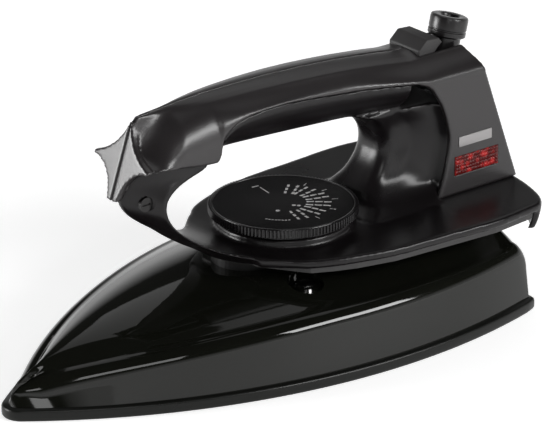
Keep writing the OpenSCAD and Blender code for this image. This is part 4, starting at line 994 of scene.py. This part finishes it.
drawn, given, out = effect("drawn_lines", [("Scale", 240.0), ("Stretch", 0.04)], ["Height"])
coords = node(drawn, "ShaderNodeTexCoord", (-900, 200))
squeeze = node(drawn, "ShaderNodeCombineXYZ", (-700, -100))
squeeze.inputs["Y"].default_value = squeeze.inputs["Z"].default_value = 1.0
stretched = node(drawn, "ShaderNodeVectorMath", (-500, 100), operation="MULTIPLY")
lines = node(drawn, "ShaderNodeTexNoise", (-200, 100))
lines.inputs["Detail"].default_value = 5.0
wire(drawn, (given, "Stretch", squeeze, "X"), (coords, "Object", stretched, 0),
     (squeeze, "Vector", stretched, 1),
     (stretched, "Vector", lines, "Vector"), (given, "Scale", lines, "Scale"), (lines, "Fac", out, "Height"))
print("effects:", grain.name, dust.name, drawn.name)

# %% [markdown]
# ## Finishes
# Most finishes here are black, and they differ in gloss: enamel is a hard mirror with a faint ripple,
# the core and the sole's coating are half-gloss with little reflection, and the shells are satin with a
# fine texture. Each starts from one recipe that varies the colour and the roughness over the surface,
# lays the grain into the normal, and lets a little dust settle.

# %% Recipe for a finish
def finish(name, colour, rough, spread=0.04, tone=0.12, scale=900.0, depth=0.00002, dusty=0.0, metal=0.0,
           lines=0.0, specular=0.5, painted_glow=None, clear=0.0):
    """Procedural finish; depth is the height of its grain in metres."""
    made = bpy.data.materials.new(name)
    made.use_nodes = True
    tree = made.node_tree
    shader = tree.nodes["Principled BSDF"]
    skin = node(tree, "ShaderNodeGroup", (-1100, 0), node_tree=grain)
    skin.inputs["Scale"].default_value = scale
    dark, light = (tuple(c * k for c in colour) for k in (1 - tone, 1 + tone))
    tint = node(tree, "ShaderNodeMix", (-700, 250), data_type="RGBA")
    tint.inputs["A"].default_value, tint.inputs["B"].default_value = (*dark, 1), (*light, 1)
    tree.links.new(skin.outputs["Cloud"], tint.inputs["Factor"])
    shade = tint.outputs["Result"]
    if dusty:
        film = node(tree, "ShaderNodeGroup", (-900, 450), node_tree=dust)
        film.inputs["Amount"].default_value = dusty
        over = node(tree, "ShaderNodeMix", (-400, 300), data_type="RGBA")
        over.inputs["B"].default_value = (0.32, 0.31, 0.30, 1)
        tree.links.new(film.outputs["Mask"], over.inputs["Factor"])
        tree.links.new(shade, over.inputs["A"])
        shade = over.outputs["Result"]
    tree.links.new(shade, shader.inputs["Base Color"])
    gloss = node(tree, "ShaderNodeMapRange", (-700, -50))
    gloss.inputs["From Min"].default_value, gloss.inputs["From Max"].default_value = 0.3, 0.7
    gloss.inputs["To Min"].default_value = max(0.02, rough - spread)
    gloss.inputs["To Max"].default_value = rough + spread
    wire(tree, (skin, "Cloud", gloss, "Value"), (gloss, "Result", shader, "Roughness"))
    height = skin.outputs["Height"]
    if lines:
        streak = node(tree, "ShaderNodeGroup", (-1100, -350), node_tree=drawn)
        height = arithmetic(tree, "ADD", height, arithmetic(
            tree, "MULTIPLY", streak.outputs["Height"], lines, (-850, -350)), (-650, -350))
    relief = node(tree, "ShaderNodeBump", (-350, -300))
    relief.inputs["Distance"].default_value = depth
    tree.links.new(height, relief.inputs["Height"])
    tree.links.new(relief.outputs["Normal"], shader.inputs["Normal"])
    shader.inputs["Metallic"].default_value = metal
    shader.inputs["Specular IOR Level"].default_value = specular
    shader.inputs["Transmission Weight"].default_value = clear
    # Emission set here is a painted glow, not a lamp.
    if painted_glow:
        shader.inputs["Emission Color"].default_value = (*painted_glow[0], 1)
        shader.inputs["Emission Strength"].default_value = painted_glow[1]
    return made


# Each row: colour, roughness, its spread, variation of the tone, scale and depth of the grain, the rest.
recipes = {
    "sole_coating": ((0.005, 0.0054, 0.0046), 0.3, 0.05, 0.2, 1400, 0.00002,
        dict(dusty=0.01, specular=0.22)),
    "element_sheath": ((0.34, 0.33, 0.32), 0.34, 0.06, 0.15, 700, 0.00003, dict(metal=1.0, lines=1.0)),
    "ceramic": ((0.78, 0.74, 0.66), 0.65, 0.08, 0.08, 1200, 0.00004, dict()),
    "cast_plate": ((0.1, 0.1, 0.1), 0.55, 0.08, 0.25, 500, 0.00015, dict(metal=0.8)),
    "zinc_steel": ((0.56, 0.57, 0.59), 0.26, 0.06, 0.1, 800, 0.00002, dict(metal=1.0, lines=0.8)),
    "bimetal": ((0.62, 0.48, 0.26), 0.3, 0.05, 0.12, 800, 0.00002, dict(metal=1.0, lines=1.0)),
    "contact_brass": ((0.74, 0.56, 0.24), 0.24, 0.05, 0.1, 800, 0.00002, dict(metal=1.0, lines=0.6)),
    "cover_enamel": ((0.004, 0.0043, 0.003), 0.06, 0.02, 0.2, 260, 0.00001,
        dict(dusty=0.003, specular=0.38)),
    "screw_chrome": ((0.72, 0.71, 0.7), 0.12, 0.05, 0.08, 600, 0.00002, dict(metal=1.0, lines=0.4)),
    "black_phenolic": ((0.005, 0.0048, 0.0048), 0.45, 0.05, 0.2, 900, 0.00003, dict(specular=0.2)),
    "strip_grey": ((0.014, 0.013, 0.013), 0.3, 0.05, 0.15, 900, 0.00003, dict(dusty=0.01)),
    "gloss_moulding": ((0.005, 0.004, 0.0045), 0.3, 0.04, 0.2, 500, 0.000012,
        dict(dusty=0.006, specular=0.3)),
    "satin_shell": ((0.019, 0.0168, 0.0175), 0.31, 0.04, 0.12, 2200, 0.00003, dict(dusty=0.008)),
    "dark_screw": ((0.025, 0.024, 0.024), 0.4, 0.06, 0.2, 700, 0.00003, dict(metal=0.7)),
    "dial_moulding": ((0.006, 0.0052, 0.0058), 0.22, 0.04, 0.2, 900, 0.00002,
        dict(dusty=0.008, specular=0.4)),
    "dial_face": ((0.003, 0.0026, 0.003), 0.2, 0.04, 0.2, 700, 0.000015, dict(dusty=0.004, specular=0.25)),
    "label_grey": ((0.3, 0.29, 0.29), 0.35, 0.05, 0.15, 1500, 0.00003, dict(metal=0.3)),
    "lamp_glass": ((0.8, 0.45, 0.3), 0.08, 0.02, 0.1, 500, 0.00001, dict(clear=0.8)),
    "block_ceramic": ((0.72, 0.7, 0.64), 0.55, 0.06, 0.08, 1100, 0.00004, dict()),
    "lead_brown": ((0.16, 0.06, 0.025), 0.42, 0.05, 0.12, 1000, 0.00003, dict()),
    "lead_blue": ((0.03, 0.08, 0.3), 0.42, 0.05, 0.12, 1000, 0.00003, dict()),
    "lead_green": ((0.08, 0.24, 0.05), 0.42, 0.05, 0.12, 1000, 0.00003, dict()),
    "saddle_matte": ((0.015, 0.0138, 0.0142), 0.55, 0.05, 0.15, 1500, 0.00005, dict(dusty=0.02)),
    "bush_black": ((0.007, 0.0062, 0.0066), 0.26, 0.05, 0.15, 900, 0.00003,
        dict(dusty=0.008, specular=0.4)),
}
finishes = {name: finish(name, *row[:-1], **row[-1]) for name, row in recipes.items()}
print("finishes:", len(finishes))

# %% [markdown]
# The lens is the one bright colour. Its own red carries painted glints in small cells, standing for the
# light that breaks up behind its studs, plus a faint painted glow; part of the light goes through.

# %% Finish of the lens and of the print
# Its faint red emission is a painted glow; the lamp behind the lens is off.
red = finish("red_lens", (0.20, 0.004, 0.004), 0.25, 0.04, 0.3, 700, 0.00003, clear=0.35,
             painted_glow=((0.9, 0.02, 0.01), 0.05), specular=0.06)
tree = red.node_tree
shader = tree.nodes["Principled BSDF"]
coords = node(tree, "ShaderNodeTexCoord", (-1500, 700))
cells = node(tree, "ShaderNodeTexVoronoi", (-1250, 700))
cells.inputs["Scale"].default_value = 300.0
# Voronoi cells drive a ramp from bright to dark red: painted glints over the lens's own red.
painted_glint_ramp = node(tree, "ShaderNodeValToRGB", (-1000, 700))
stops = painted_glint_ramp.color_ramp.elements
stops[0].position, stops[0].color = 0.12, (0.55, 0.03, 0.03, 1)
stops[1].position, stops[1].color = 0.55, (0.035, 0.001, 0.001, 1)
wire(tree, (coords, "Object", cells, "Vector"), (cells, "Distance", painted_glint_ramp, "Fac"),
     (painted_glint_ramp, "Color", shader, "Base Color"))
finishes["red_lens"] = red
print_grey = finish("print_grey", (0.42, 0.41, 0.41), 0.5, 0.05, 0.1, 1500, 0.00001)


def wear(piece, material):
    """Gives a whole piece one finish."""
    if piece.data.materials:
        for k in range(len(piece.material_slots)):
            piece.material_slots[k].material = material
    else:
        piece.data.materials.append(material)


slot_of = {part["node"]: part["material_slot"] for part in frame["record"]["subparts"]}
for name, part in nodes.items():
    wear(part, finishes[slot_of[name]])
print("nodes finished:", len(nodes))

# %% [markdown]
# ## Putting it together
# Each refined piece stands for its plain node, moves with the same body and takes the same slot.

# %% Say what each piece stands for
pieces = [
    (soleplate, "iron", "sole_coating", ["soleplate"]),
    (cover_skin, "iron", "cover_enamel", ["cover"]),
    (handle_core, "iron", "gloss_moulding", ["handle_core"]),
    (left_shell, "iron", "satin_shell", ["left_shell"]),
    (right_shell, "iron", "satin_shell", ["right_shell"]),
    (dial_disc, "dial", "dial_moulding", ["dial"]),
    (dial_face, "dial", "dial_face", ["dial_legend"]),
    (dial_marks, "dial", "dial_face", []),
    (lens, "iron", "red_lens", ["pilot_lens"]),
    (label_plate, "iron", "label_grey", ["label_bar"]),
    (bush, "bush", "bush_black", ["cord_bush"]),
    (saddle, "iron", "saddle_matte", ["cord_saddle"]),
]
for piece, body, slot_name, stands_for in pieces:
    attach(piece, body)
    if stands_for:
        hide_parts(*stands_for)
    wear(piece, finishes[slot_name])
wear(dial_marks, print_grey)

print("pieces placed:", len(pieces))
